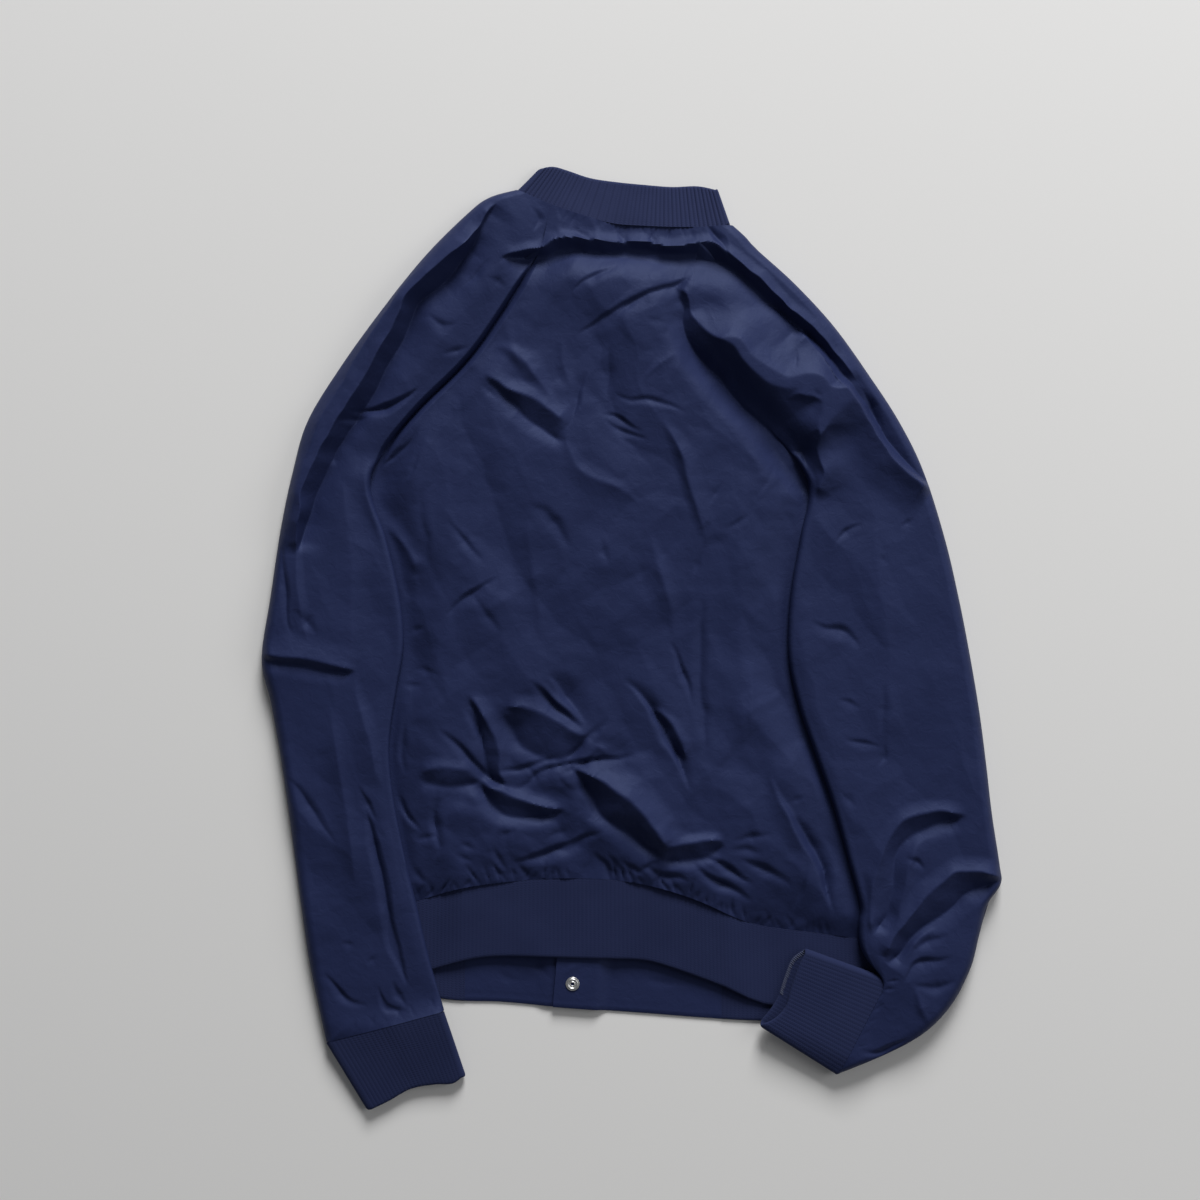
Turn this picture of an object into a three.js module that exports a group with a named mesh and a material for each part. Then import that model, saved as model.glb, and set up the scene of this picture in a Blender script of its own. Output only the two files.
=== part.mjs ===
// A bomber jacket laid flat on a table, back side up: raglan sleeves, knitted rib
// collar, cuffs and waistband, woven tabs and snaps at the front opening.
// Millimetres. +Y points to the collar, +X to the right seen from above, +Z up.
// The origin is the middle of the box on the table. Left and right are as seen from above.
import * as THREE from "three";

// ---------------------------------------------------------------- driving sizes
const WOVEN = 1.6; // wall of the woven panels
const KNIT = 2.4; // wall of the knitted rib, under its ribs
const RIB_PITCH = 3.65;
const RIB_RISE = 0.8;
const GAP = 0.3; // between pieces that are sewn together
const SEAM_INSET = GAP / 2 + 0.05; // each piece stops this far from the seam's line

const PLACKET = 32; // width over which the two fronts lie on each other
const RAMP = 14; // how far a front takes to come down from the placket
const SNAP = { count: 7, radius: 6.4, cap: 1.2, eyelet: 2.1, ring: 1.2, first: 0.14, last: 0.96 };
const LOWER_LIFT = SNAP.cap + GAP; // the outer front lies on its snap caps
const UPPER_LIFT = LOWER_LIFT + KNIT + GAP; // and the inner front on the outer one

const SIDE_SEAM = WOVEN + GAP + WOVEN; // top of the back where it lies on a front
const SLEEVE_REST = SIDE_SEAM + 1.1; // underside of a sleeve that lies on the body
const HEM_REST = 8.2; // and of what lies on the waistband
const LAYERS = 2 * WOVEN + GAP; // a sleeve pressed flat
const OVER_SNAPS = 10.2; // lowest the back can lie over the snaps
const OVER_COLLAR = 5; // and over the front of the collar
const BACK_LOFT = 18; // how high the back stands off the table
const SEAM_LOFT = 13; // and the raglan seams
const NECK_LOFT = 10.5; // and the collar seam

// Centre front, from the waistband's snap to the front of the neck.
const CENTRE_HEM = new THREE.Vector2(-53, -309);
const CENTRE_NECK = new THREE.Vector2(-2, 288);

// ---------------------------------------------------------------- outlines
// Sleeve sections from the collar to the cuff: the edge of the upper layer (raglan
// seam, then underarm), the edge of the lower layer where it is another, the outer
// fold and the loft.
const LEFT_SLEEVE = [
  { back: [-72, 389], front: [-94, 368], fold: [-104, 403], loft: 12 },
  { back: [-78, 367], front: [-99, 351], fold: [-128, 396], loft: 14 },
  { back: [-84, 345], front: [-104, 335], fold: [-147, 382], loft: 15 },
  { back: [-112, 300], front: [-124, 298], fold: [-185, 344], loft: 17 },
  { back: [-146, 252], front: [-152, 254], fold: [-226, 293], loft: 17 },
  { back: [-190, 208], front: [-190, 210], fold: [-262, 243], loft: 17 },
  { back: [-221, 170], fold: [-291, 195], loft: 17 },
  { back: [-234, 138], fold: [-304, 150], loft: 17 },
  { back: [-220, 90], fold: [-315, 98], loft: 17 },
  { back: [-208, 40], fold: [-324, 38], loft: 18 },
  { back: [-204, -4], fold: [-332, -18], loft: 18 },
  { back: [-211, -48], fold: [-324, -56], loft: 17 },
  { back: [-217, -95], fold: [-316, -100], loft: 17 },
  { back: [-213, -142], fold: [-309, -146], loft: 17 },
  { back: [-203, -195], fold: [-302, -198], loft: 16 },
  { back: [-192, -240], fold: [-296, -243], loft: 16 },
  { back: [-181, -287], fold: [-288, -296], loft: 15 },
  { back: [-168, -332], fold: [-274, -361], loft: 12 },
];
const RIGHT_SLEEVE = [
  { back: [64, 369], front: [84, 345], fold: [91, 371], loft: 12 },
  { back: [60, 352], front: [82, 333], fold: [102, 361], loft: 14 },
  { back: [57, 335], front: [80, 320], fold: [113, 349], loft: 15 },
  { back: [55, 300], front: [76, 290], fold: [146, 319], loft: 17 },
  { back: [67, 260], front: [82, 255], fold: [181, 281], loft: 18 },
  { back: [94, 220], front: [100, 220], fold: [212, 238], loft: 18 },
  { back: [130, 182], fold: [240, 195], loft: 18 },
  { back: [158, 140], fold: [262, 150], loft: 18 },
  { back: [151, 92], fold: [281, 90], loft: 19 },
  { back: [142, 40], fold: [294, 34], loft: 20 },
  { back: [140, -12], fold: [304, -18], loft: 20 },
  { back: [149, -58], fold: [312, -66], loft: 20 },
  { back: [164, -102], fold: [318, -112], loft: 20 },
  { back: [180, -148], fold: [323, -156], loft: 20 },
  { back: [194, -198], fold: [330, -202], loft: 20 },
  { back: [204, -236], fold: [331, -219], loft: 20 },
  { back: [203, -253], fold: [319, -238], loft: 20 },
  { back: [208, -267], fold: [312, -264], loft: 20 },
  { back: [215, -278], fold: [303, -297], loft: 20 },
  { back: [222, -288], fold: [282, -334], loft: 19 },
  { back: [227, -297], fold: [247, -361], loft: 18 },
  { back: [229, -303], fold: [184, -390], loft: 17 },
];
const ARMPIT = 7; // the sleeve section where the raglan seams end
const ARMPIT_Y = 139;

// Side seams, from the armpit to the waistband.
const LEFT_SIDE = [
  [-234, 138], [-252, 105], [-262, 60], [-262, 0], [-256, -70], [-244, -150],
  [-231, -208], [-222, -245],
];
const RIGHT_SIDE = [
  [158, 140], [184, 108], [206, 60], [214, 0], [219, -70], [223, -150],
  [226, -212], [226, -271],
];
// Where the back and the fronts meet the collar and the waistband.
const BACK_NECK = [[-72, 389], [-42, 379], [-16, 372], [10, 370], [36, 369], [64, 369]];
const BACK_HEM = [
  [-222, -245], [-192, -235], [-143, -221], [-63, -214], [3, -218], [55, -232],
  [108, -255], [162, -263], [226, -271],
];
const LEFT_FRONT_NECK = [[-94, 368], [-84, 334], [-60, 306], [-26, 290], [14, 287]];
const RIGHT_FRONT_NECK = [[-18, 289], [22, 289], [54, 300], [76, 320], [84, 345]];
const FRONT_HEM = [[-222, -245], [-165, -256], [-72, -262], [3, -266], [114, -271], [226, -271]];
// Free edges of the knitted bands, from left to right.
const COLLAR_BACK_EDGE = [
  [-84, 421], [-71, 423.5], [-57, 420], [-37, 413.5], [-14, 410], [11, 407.5],
  [36, 405.5], [60, 406], [81, 401],
];
const COLLAR_FRONT_EDGE = [
  [-84, 421], [-72, 384], [-54, 356], [-30, 340], [-2, 334], [26, 338], [46, 354],
  [64, 378], [81, 401],
];
const HEM_BACK_EDGE = [
  [-223, -312], [-177, -296], [-140, -286], [-103, -284], [-39, -286], [3, -287],
  [29, -292], [82, -311], [126, -329], [228, -342],
];
const HEM_FRONT_EDGE = [
  [-223, -312], [-165, -324], [-118, -326], [-72, -330], [3, -335.5], [114, -343], [228, -342],
];
const LEFT_RIB_END = -150; // where the rib gives way to a woven tab
const RIGHT_RIB_END = 81;
const HEM_DEPTH = 68;

// Cuffs: the fold points at the sleeve come from the sleeve's last section.
// The mouth of each layer runs from the outer fold to the underarm fold.
const LEFT_CUFF = {
  upper: [[-237, -423], [-218, -414], [-198, -403], [-177, -399], [-160, -398], [-150, -390]],
  lower: [[-237, -423], [-218, -414], [-198, -403], [-177, -399], [-160, -398], [-150, -390]],
};
const RIGHT_CUFF = {
  upper: [[113, -344], [126, -339], [137, -328], [142, -311], [149, -292], [156, -277]],
  lower: [[113, -344], [122, -334], [131, -320], [137, -302], [144, -286], [156, -277]],
};
const CUFF_LOFT = 9; // both layers with the air between them

// ---------------------------------------------------------------- folds
// Each fold follows a line. rise is its height (a trough's is negative), and it fades
// over the width left and right of the line's direction.
const SHOULDER_FOLDS = [
  { rise: -10, left: 13, right: 13, line: [
    [-112, 350], [-64, 356], [-28, 351], [24, 349], [62, 345], [82, 336], [106, 319],
    [134, 295], [158, 271], [192, 243],
  ] },
  { rise: 7, left: 9, right: 34, line: [
    [58, 340], [88, 327], [112, 309], [144, 284], [170, 250], [194, 217], [218, 187],
    [240, 158], [266, 137],
  ] },
  { rise: 11, left: 44, right: 26, line: [
    [36, 314], [52, 292], [90, 267], [112, 243], [134, 230], [166, 220], [170, 196], [164, 160],
  ] },
  { rise: -8, left: 14, right: 14, line: [
    [-89, 340], [-112, 300], [-144, 253], [-189, 210], [-222, 170], [-236, 141],
  ] },
];
const BACK_FOLDS = [
  { rise: -7, left: 22, right: 13, line: [[-134, 235], [-95, 218], [-72, 206], [-56, 188]] },
  { rise: 6, left: 14, right: 24, line: [[58, 330], [17, 311], [-51, 274], [-84, 250]] },
  { rise: 5, left: 18, right: 26, line: [[-52, 158], [-21, 139], [10, 120], [24, 96]] },
  { rise: -6, left: 24, right: 18, line: [[28, 192], [46, 145], [60, 89], [64, 40]] },
  { rise: 5, left: 40, right: 28, line: [[-92, 120], [-96, 60], [-88, 0], [-96, -40]] },
  { rise: -5, left: 28, right: 20, line: [[-119, 54], [-146, 36], [-172, 16]] },
  { rise: 5, left: 30, right: 34, line: [[104, 150], [94, 60], [98, -60], [112, -120]] },
  { rise: -7, left: 24, right: 13, line: [[-146, -46], [-134, -95], [-110, -134]] },
  { rise: -7, left: 13, right: 22, line: [[-190, -96], [-142, -122], [-104, -144], [-58, -152]] },
  { rise: 6, left: 16, right: 20, line: [[-150, -84], [-112, -104], [-76, -98], [-44, -112]] },
  { rise: -7, left: 30, right: 18, line: [[-84, -28], [-56, -56], [-40, -82], [-62, -118]] },
  { rise: -8, left: 30, right: 14, line: [[-56, -112], [-24, -138], [4, -162], [30, -196]] },
  { rise: 8, left: 16, right: 24, line: [[-20, -112], [14, -136], [44, -160], [66, -190]] },
  { rise: -7, left: 22, right: 16, line: [[-12, -34], [14, -60], [36, -90], [50, -136]] },
  { rise: -6, left: 14, right: 16, line: [[60, -194], [82, -216], [112, -234]] },
  { rise: -6, left: 14, right: 14, line: [[-118, -199], [-86, -190], [-50, -180], [-26, -168]] },
  { rise: 7, left: 16, right: 20, line: [[122, -118], [134, -152], [154, -190], [162, -222]] },
  { rise: -5, left: 13, right: 13, line: [[146, -140], [166, -186], [180, -240]] },
];
const LEFT_FOLDS = [
  { rise: 8, left: 13, right: 28, line: [
    [-119, 395], [-159, 347], [-201, 301], [-222, 260], [-258, 204], [-289, 146], [-298, 100],
    [-299, 40],
  ] },
  { rise: -10, left: 26, right: 13, line: [[-332, -14], [-298, -20], [-248, -27]] },
  { rise: 7, left: 12, right: 28, line: [[-254, -22], [-244, -60], [-226, -112], [-217, -142]] },
  { rise: -6, left: 14, right: 16, line: [[-246, -130], [-232, -190], [-220, -254], [-204, -310]] },
];
const RIGHT_FOLDS = [
  { rise: -9, left: 18, right: 18, line: [
    [213, -262], [219, -229], [230, -187], [252, -161], [296, -154],
  ] },
  { rise: -9, left: 16, right: 16, line: [
    [228, -278], [245, -252], [271, -224], [296, -214], [330, -214],
  ] },
  { rise: -6, left: 14, right: 14, line: [[240, -290], [262, -278], [290, -270]] },
  { rise: 5, left: 22, right: 26, line: [[212, 130], [222, 40], [230, -40], [228, -110]] },
  { rise: -5, left: 18, right: 14, line: [[164, 16], [180, 8], [202, -6]] },
];
const EDGE_ROLL = 11; // how far from its outer fold a sleeve reaches its full loft

// ---------------------------------------------------------------- small maths
const clamp01 = (t) => Math.min(1, Math.max(0, t));
const smooth = (t) => clamp01(t) ** 2 * (3 - 2 * clamp01(t));
const mix = (a, b, t) => a + (b - a) * t;
const vec = ([x, y]) => new THREE.Vector2(x, y);
const range = (n) => Array.from({ length: n + 1 }, (_, i) => i / n);
const curve = (points) => new THREE.SplineCurve(points.map(vec));
const along = (points, n) => curve(points).getPoints(n);

// Points evenly spaced on a line of straight pieces, at the given shares of its length.
function onPolyline(points, shares) {
  const path = new THREE.CurvePath();
  for (let i = 1; i < points.length; i++) {
    path.add(new THREE.LineCurve(points[i - 1], points[i]));
  }
  return shares.map((s) => path.getPoint(s));
}

// x at the height y, on a line that runs from the collar towards the hem.
function xAt(points, y) {
  const next = points.findIndex((p) => p.y <= y);
  if (next === 0) return points[0].x;
  if (next < 0) return points[points.length - 1].x;
  const [a, b] = [points[next - 1], points[next]];
  return mix(a.x, b.x, (a.y - y) / (a.y - b.y));
}

// y on a line that runs from left to right, at x.
function yAt(points, x) {
  return xAt(points.map((p) => new THREE.Vector2(p.y, -p.x)), -x);
}

// Total height of the folds of a table at a point.
function foldsAt(table, x, y) {
  let total = 0;
  for (const { line, rise, left, right } of table) {
    let best = { distance: Infinity };
    for (let i = 1; i < line.length; i++) {
      const [x0, y0] = line[i - 1];
      const dx = line[i][0] - x0;
      const dy = line[i][1] - y0;
      const t = clamp01(((x - x0) * dx + (y - y0) * dy) / (dx * dx + dy * dy));
      const distance = Math.hypot(x - x0 - t * dx, y - y0 - t * dy);
      if (distance < best.distance) {
        const onLeft = dx * (y - y0) - dy * (x - x0) > 0;
        best = { distance, share: (i - 1 + t) / (line.length - 1), onLeft };
      }
    }
    const fade = 1 - clamp01(best.distance / (best.onLeft ? left : right));
    if (fade > 0) total += rise * fade ** 1.4 * smooth(Math.min(best.share, 1 - best.share) * 6);
  }
  return total;
}

// ---------------------------------------------------------------- heights
const leftInner = along(LEFT_SLEEVE.map((s) => s.back), 64);
const rightInner = along(RIGHT_SLEEVE.map((s) => s.back), 64);
const leftSide = along(LEFT_SIDE, 32);
const rightSide = along(RIGHT_SIDE, 32);
const hemSeam = along(BACK_HEM, 32);
const frontEdge = along(HEM_FRONT_EDGE, 32);
const hemEdge = along(HEM_BACK_EDGE, 32);

// 0 where a sleeve lies on the back, 1 where the back shows.
function openness(x, y) {
  const fromLeft = x - xAt(leftInner, y) - 13;
  const fromRight = xAt(rightInner, y) - 13 - x;
  return smooth(fromLeft / 30) * smooth(fromRight / 30);
}

// Height of the raglan seam, which comes down to a low corner at the armpit.
function seamLoft(y, lowest) {
  const neck = mix(SEAM_LOFT, NECK_LOFT, smooth((y - 330) / 50));
  return mix(lowest, neck, smooth((y - ARMPIT_Y) / 55));
}

// Top of the back panel.
function backTop(x, y) {
  const open = openness(x, y);
  const aboveArmpit = smooth((y - ARMPIT_Y + 15) / 40);
  const neck = smooth((y - 320) / 50);
  const hem = smooth((y - yAt(hemSeam, x)) / 45);
  const middle = mix(mix(hemTop(x), BACK_LOFT, hem), NECK_LOFT, neck);
  const edge = mix(SIDE_SEAM, seamLoft(y, SIDE_SEAM), aboveArmpit);
  const low = y > 300 ? OVER_COLLAR : mix(SIDE_SEAM, OVER_SNAPS, open);
  const folded = foldsAt(SHOULDER_FOLDS, x, y) + foldsAt(BACK_FOLDS, x, y) * hem;
  const height = mix(edge, middle, open) + folded * mix(open, 1, aboveArmpit);
  return Math.max(height, low);
}

// Top of the waistband's back at its seam: pressed down under the sleeves.
function hemTop(x) {
  const low = KNIT + GAP + KNIT;
  return low + 5.2 * hemCrown(x);
}

// 1 where the waistband's back stands full, 0 where a sleeve or cuff presses it down.
function hemCrown(x) {
  return smooth((x + 190) / 40) * smooth((130 - x) / 50);
}

// What a sleeve or cuff lies on: the body, or the table outside it.
function restAt(x, y) {
  const outside = Math.max(
    xAt(leftSide, y) - x,
    x - xAt(rightSide, y),
    yAt(frontEdge, x) - y,
    2 * (y - ARMPIT_Y),
  );
  const onHem = smooth((yAt(hemSeam, x) + 40 - y) / 24);
  return mix(SLEEVE_REST, HEM_REST, onHem) * smooth((60 - outside) / 32);
}

// Undersides of the two fronts: they lie on each other over the placket.
const centreLine = CENTRE_NECK.clone().sub(CENTRE_HEM).normalize();
const centreAcross = new THREE.Vector2(centreLine.y, -centreLine.x);
const offCentre = (x, y) => new THREE.Vector2(x, y).sub(CENTRE_HEM).dot(centreAcross);
const FULL_LIFT = PLACKET / 2 + 4; // how far from centre front a front stays lifted
const lowerFront = (x, y) => LOWER_LIFT * smooth((offCentre(x, y) + FULL_LIFT + RAMP) / RAMP);
const upperFront = (x, y) => UPPER_LIFT * smooth((FULL_LIFT + RAMP - offCentre(x, y)) / RAMP);

// ---------------------------------------------------------------- solids
// A closed wall between two grids of points, rows by columns. A ring's last column
// joins its first. The inner grid may have fewer columns: kept says which of the
// outer columns it has.
function wall(outer, inner, { ring = false, kept = outer[0].map((_, c) => c) } = {}) {
  const rows = outer.length - 1;
  const positions = [...outer.flat(), ...inner.flat()].flatMap((p) => [p.x, p.y, p.z]);
  const faces = [];
  const rowsOf = (grid, start) => grid.map((row, r) => {
    const numbers = row.map((_, c) => start + r * row.length + c);
    return ring ? [...numbers, numbers[0]] : numbers;
  });
  const outerRows = rowsOf(outer, 0);
  const innerRows = rowsOf(inner, outer.length * outer[0].length);
  const stations = ring ? [...kept, outer[0].length] : kept;
  for (let r = 0; r < rows; r++) {
    zip(faces, outerRows[r + 1], outerRows[r]);
    zip(faces, innerRows[r], innerRows[r + 1]);
  }
  zip(faces, outerRows[0], innerRows[0], stations);
  zip(faces, innerRows[rows], outerRows[rows], outerRows[0].map((_, c) => c), stations);
  if (!ring) {
    zip(faces, innerRows.map((row) => row[0]), outerRows.map((row) => row[0]));
    zip(faces, outerRows.map((row) => row.at(-1)), innerRows.map((row) => row.at(-1)));
  }
  if (volume(positions, faces) < 0) faces.reverse();
  const geometry = new THREE.BufferGeometry();
  geometry.setAttribute("position", new THREE.Float32BufferAttribute(positions, 3));
  geometry.setIndex(faces);
  geometry.computeVertexNormals();
  return geometry;
}

// Faces between two lines of points. Stations say where each line's points lie.
function zip(faces, a, b, atB = b.map((_, k) => k), atA = a.map((_, k) => k)) {
  let [i, j] = [0, 0];
  while (i < a.length - 1 || j < b.length - 1) {
    const stepA = j === b.length - 1 || (i < a.length - 1 && atA[i + 1] <= atB[j + 1]);
    if (stepA) {
      faces.push(a[i], b[j], a[i + 1]);
      i += 1;
    } else {
      faces.push(a[i], b[j], b[j + 1]);
      j += 1;
    }
  }
}

function volume(positions, faces) {
  const point = (k) => new THREE.Vector3().fromArray(positions, 3 * k);
  let six = 0;
  for (let f = 0; f < faces.length; f += 3) {
    six += point(faces[f]).dot(point(faces[f + 1]).cross(point(faces[f + 2])));
  }
  return six / 6;
}

// A point moved a little way towards another, so that pieces stay apart at a seam.
const drawnIn = (p, towards, by = SEAM_INSET) =>
  p.clone().add(towards.clone().sub(p).setLength(by));

// Plan of a panel between two side lines of equal length, with its end rows bowed to
// the given curves, and every edge drawn in from its seam. columnsOf gives the shares
// of a row's width at which its points lie.
function panelPlan(left, right, topCurve, bottomCurve, columnsOf) {
  const rows = left.length - 1;
  const bowed = (points, shares) => {
    const line = along(points, 40);
    return onPolyline(line, shares).map((p, c) => p.sub(line[0].clone().lerp(line[40], shares[c])));
  };
  return inset(left.map((from, r) => {
    const shares = columnsOf(from.distanceTo(right[r]));
    const top = bowed(topCurve, shares);
    const bottom = bowed(bottomCurve, shares);
    return shares.map((share, c) =>
      from.clone().lerp(right[r], share)
        .addScaledVector(top[c], (1 - r / rows) ** 2)
        .addScaledVector(bottom[c], (r / rows) ** 3));
  }));
}

function inset(plan) {
  const rows = plan.length - 1;
  const across = plan.map((row) => {
    const n = row.length - 1;
    return [drawnIn(row[0], row[1]), ...row.slice(1, n), drawnIn(row[n], row[n - 1])];
  });
  return across.map((row, r) => {
    if (r === 0) return row.map((p, c) => drawnIn(p, across[1][c]));
    if (r === rows) return row.map((p, c) => drawnIn(p, across[rows - 1][c]));
    return row;
  });
}

function lifted(plan, height) {
  return plan.map((row) => row.map((p) => new THREE.Vector3(p.x, p.y, height(p.x, p.y))));
}

// ---------------------------------------------------------------- sleeves
const RAGLAN_ROWS = 12;
const SLEEVE_ROWS = 19;
const BODY_ROWS = 17;

// Section numbers at which a sleeve is cut, the same for every piece on its raglan seam
// and closest at the neck.
function sectionNumbers(table, rows) {
  const raglan = range(RAGLAN_ROWS).map((t) => t ** 1.25 * ARMPIT);
  const arm = range(rows).slice(1).map((t) => mix(ARMPIT, table.length - 1, t));
  return [...raglan, ...arm];
}

function sleeveLine(table, key, rows = SLEEVE_ROWS) {
  const line = curve(table.map((s) => s[key] ?? s.back));
  return sectionNumbers(table, rows).map((n) => line.getPoint(n / (table.length - 1)));
}

// A sleeve is one sheet: its upper layer from the back edge to the outer fold, then its
// lower layer back to the front edge.
function sleeve(table, folds) {
  const [back, front, fold] = ["back", "front", "fold"].map((key) => sleeveLine(table, key));
  const lofts = new THREE.SplineCurve(table.map((s, n) => new THREE.Vector2(n, s.loft)));
  const numbers = sectionNumbers(table, SLEEVE_ROWS);
  const upper = [0, 0.06, 0.16, 0.28, 0.4, 0.52, 0.64, 0.76, 0.87, 0.94, 0.985];
  const lower = [0.985, 0.9, 0.72, 0.54, 0.36, 0.18, 0];
  const outer = [];
  const inner = [];
  numbers.forEach((number, r) => {
    const loft = lofts.getPoint(number / (table.length - 1)).y;
    const closed = smooth(number - ARMPIT + 1);
    const width = fold[r].distanceTo(back[r]);
    const top = (p, s) => {
      const low = restAt(p.x, p.y) + LAYERS + 0.4;
      const roll = clamp01((1 - s) * width / EDGE_ROLL);
      const round = Math.sqrt(1 - (1 - roll) ** 2);
      const open = smooth(s * width / 30);
      const seam = seamLoft(p.y, SLEEVE_REST + LAYERS);
      const flat = mix(mix(seam, loft, open), low + (loft - low) * smooth(s * width / 14), closed);
      const bumps = (foldsAt(SHOULDER_FOLDS, p.x, p.y) + foldsAt(folds, p.x, p.y))
        * round * mix(1, smooth(s * width / 14), closed);
      return Math.max(low, low + (flat - low) * round + bumps);
    };
    const at = (edge, s) => (s === 0 ? drawnIn(edge, fold[r]) : edge.clone().lerp(fold[r], s));
    const over = upper.map((s) => at(back[r], s));
    const under = lower.map((s) => at(front[r], s));
    const tops = over.map((p, k) => top(p, upper[k]));
    const rests = under.map((p) => restAt(p.x, p.y));
    const edgeRest = restAt(fold[r].x, fold[r].y);
    const insideFold = drawnIn(fold[r], back[r], WOVEN);
    const besideFold = drawnIn(insideFold, back[r], GAP);
    const point = (p, z) => new THREE.Vector3(p.x, p.y, z);
    outer.push([
      ...over.map((p, k) => point(p, tops[k])),
      point(fold[r], edgeRest + LAYERS / 2),
      ...under.map((p, k) => point(p, rests[k])),
    ]);
    over[over.length - 1] = besideFold;
    under[0] = besideFold;
    inner.push([
      ...over.map((p, k) => point(p, tops[k] - WOVEN)),
      point(insideFold, edgeRest + LAYERS / 2),
      ...under.map((p, k) => point(p, rests[k] + WOVEN)),
    ]);
  });
  return drawEndsIn(outer, inner);
}

// The first and last rows of a wall stop short of the collar's and the cuff's seams.
function drawEndsIn(outer, inner) {
  const rows = outer.length - 1;
  const moved = (grid) => grid.map((row, r) => {
    if (r > 0 && r < rows) return row;
    const next = grid[r === 0 ? 1 : rows - 1];
    return row.map((p, c) => {
      const way = new THREE.Vector2(next[c].x - p.x, next[c].y - p.y).setLength(SEAM_INSET);
      return new THREE.Vector3(p.x + way.x, p.y + way.y, p.z);
    });
  });
  return wall(moved(outer), moved(inner));
}

// ---------------------------------------------------------------- body panels
const COLUMNS = 26;

function sideRows(points) {
  return along(points, BODY_ROWS).slice(1);
}

function bodyLine(table, key, side) {
  return [...sleeveLine(table, key).slice(0, RAGLAN_ROWS + 1), ...sideRows(side)];
}

const backPlan = panelPlan(
  bodyLine(LEFT_SLEEVE, "back", LEFT_SIDE),
  bodyLine(RIGHT_SLEEVE, "back", RIGHT_SIDE),
  BACK_NECK, BACK_HEM, () => range(COLUMNS),
);

function backPanel() {
  return wall(lifted(backPlan, backTop), lifted(backPlan, (x, y) => backTop(x, y) - WOVEN));
}

// The front edge of a front, parallel to centre front and as long as its side.
function placketLine(offset) {
  const rows = RAGLAN_ROWS + BODY_ROWS;
  const shift = centreAcross.clone().multiplyScalar(offset);
  const top = CENTRE_NECK.clone().add(shift);
  const hemY = yAt(along(FRONT_HEM, 32), CENTRE_HEM.x + offset);
  const share = (top.y - hemY) / (top.y - CENTRE_HEM.y - shift.y);
  const bottom = top.clone().lerp(CENTRE_HEM.clone().add(shift), share);
  return range(rows).map((t) => top.clone().lerp(bottom, t));
}

// The part of the front's waistband seam between two x values.
function hemBetween(from, to) {
  const seam = along(FRONT_HEM, 32);
  return range(8).map((t) => [mix(from, to, t), yAt(seam, mix(from, to, t))]);
}

const leftEdge = placketLine(PLACKET / 2);
const rightEdge = placketLine(-PLACKET / 2);
const hemAt = (line) => line[line.length - 1].x;
const FRONT_COLUMNS = 5;

// Columns of a front: along its edge, where the placket ends, where its ramp ends, and
// evenly from there to its side.
function frontColumns(width) {
  const flat = PLACKET / 2 + FULL_LIFT;
  const marks = [0, flat, flat + RAMP].map((x) => x / width);
  return [...marks, ...range(FRONT_COLUMNS).slice(1).map((t) => mix(marks[2], 1, t))];
}

const mirrored = (shares) => shares.map((s) => 1 - s).reverse();

const leftFrontPlan = panelPlan(
  bodyLine(LEFT_SLEEVE, "front", LEFT_SIDE), leftEdge,
  LEFT_FRONT_NECK, hemBetween(LEFT_SIDE[7][0], hemAt(leftEdge)),
  (width) => mirrored(frontColumns(width)),
);
const rightFrontPlan = panelPlan(
  rightEdge, bodyLine(RIGHT_SLEEVE, "front", RIGHT_SIDE),
  RIGHT_FRONT_NECK, hemBetween(hemAt(rightEdge), RIGHT_SIDE[7][0]),
  frontColumns,
);

function frontPanel(plan, underside) {
  return wall(lifted(plan, underside), lifted(plan, (x, y) => underside(x, y) + WOVEN));
}

// ---------------------------------------------------------------- knitted bands
// Columns of a band: where it meets its seam, its free edge, the height of its middle
// at both, and the way its ribbed face looks.
function flatColumns(seam, edge, count, heights, face) {
  const shares = range(count);
  const seams = onPolyline(seam, shares);
  const edges = onPolyline(edge, shares);
  return shares.map((_, k) => {
    const from = drawnIn(seams[k], edges[k], 2 * SEAM_INSET);
    const [low, high] = heights(from.x);
    return { seam: from, edge: edges[k], low, high, face: new THREE.Vector3(0, 0, face) };
  });
}

// The turn from one flat stretch into the next, half a circle round a vertical plane.
function turnColumns(from, to, steps) {
  const way = new THREE.Vector3();
  return range(steps).slice(1, -1).map((t) => {
    const angle = Math.PI * t;
    const bend = (a, b) => (a + b) / 2 + (a - b) / 2 * Math.cos(angle);
    const low = bend(from.low, to.low);
    const high = bend(from.high, to.high);
    const radius = Math.abs(from.low - to.low) / 2;
    const out = new THREE.Vector2().subVectors(from.seam, from.inward).normalize();
    const shift = out.clone().multiplyScalar(radius * Math.sin(angle));
    way.set(out.x * Math.sin(angle), out.y * Math.sin(angle), from.face.z * Math.cos(angle));
    const edge = from.edge.clone().lerp(to.edge, t).add(shift);
    const seam = drawnIn(from.seam.clone().lerp(to.seam, t).add(shift), edge, 2 * Math.sin(angle));
    return { seam, edge, low, high, face: way.clone() };
  });
}

// The wall of a band: ribbed columns stand out of its face, over a plain inside.
function band(columns, rows, firstRib, ribColumns, ring = false) {
  const rib = (k) => k > firstRib && k < firstRib + ribColumns;
  const kept = columns.map((_, k) => k).filter((k) => !rib(k) || (k - firstRib) % 8 === 0);
  const surface = (side) => range(rows).map((v) => columns.map((column, k) => {
    const rise = side > 0 && rib(k) && (k - firstRib) % 2 === 1 ? RIB_RISE : 0;
    const plan = column.seam.clone().lerp(column.edge, v);
    const middle = new THREE.Vector3(plan.x, plan.y, mix(column.low, column.high, v));
    return middle.addScaledVector(column.face, side * (KNIT / 2 + rise));
  }));
  const plain = surface(-1).map((row) => kept.map((k) => row[k]));
  return wall(surface(1), plain, { ring, kept });
}

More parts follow.
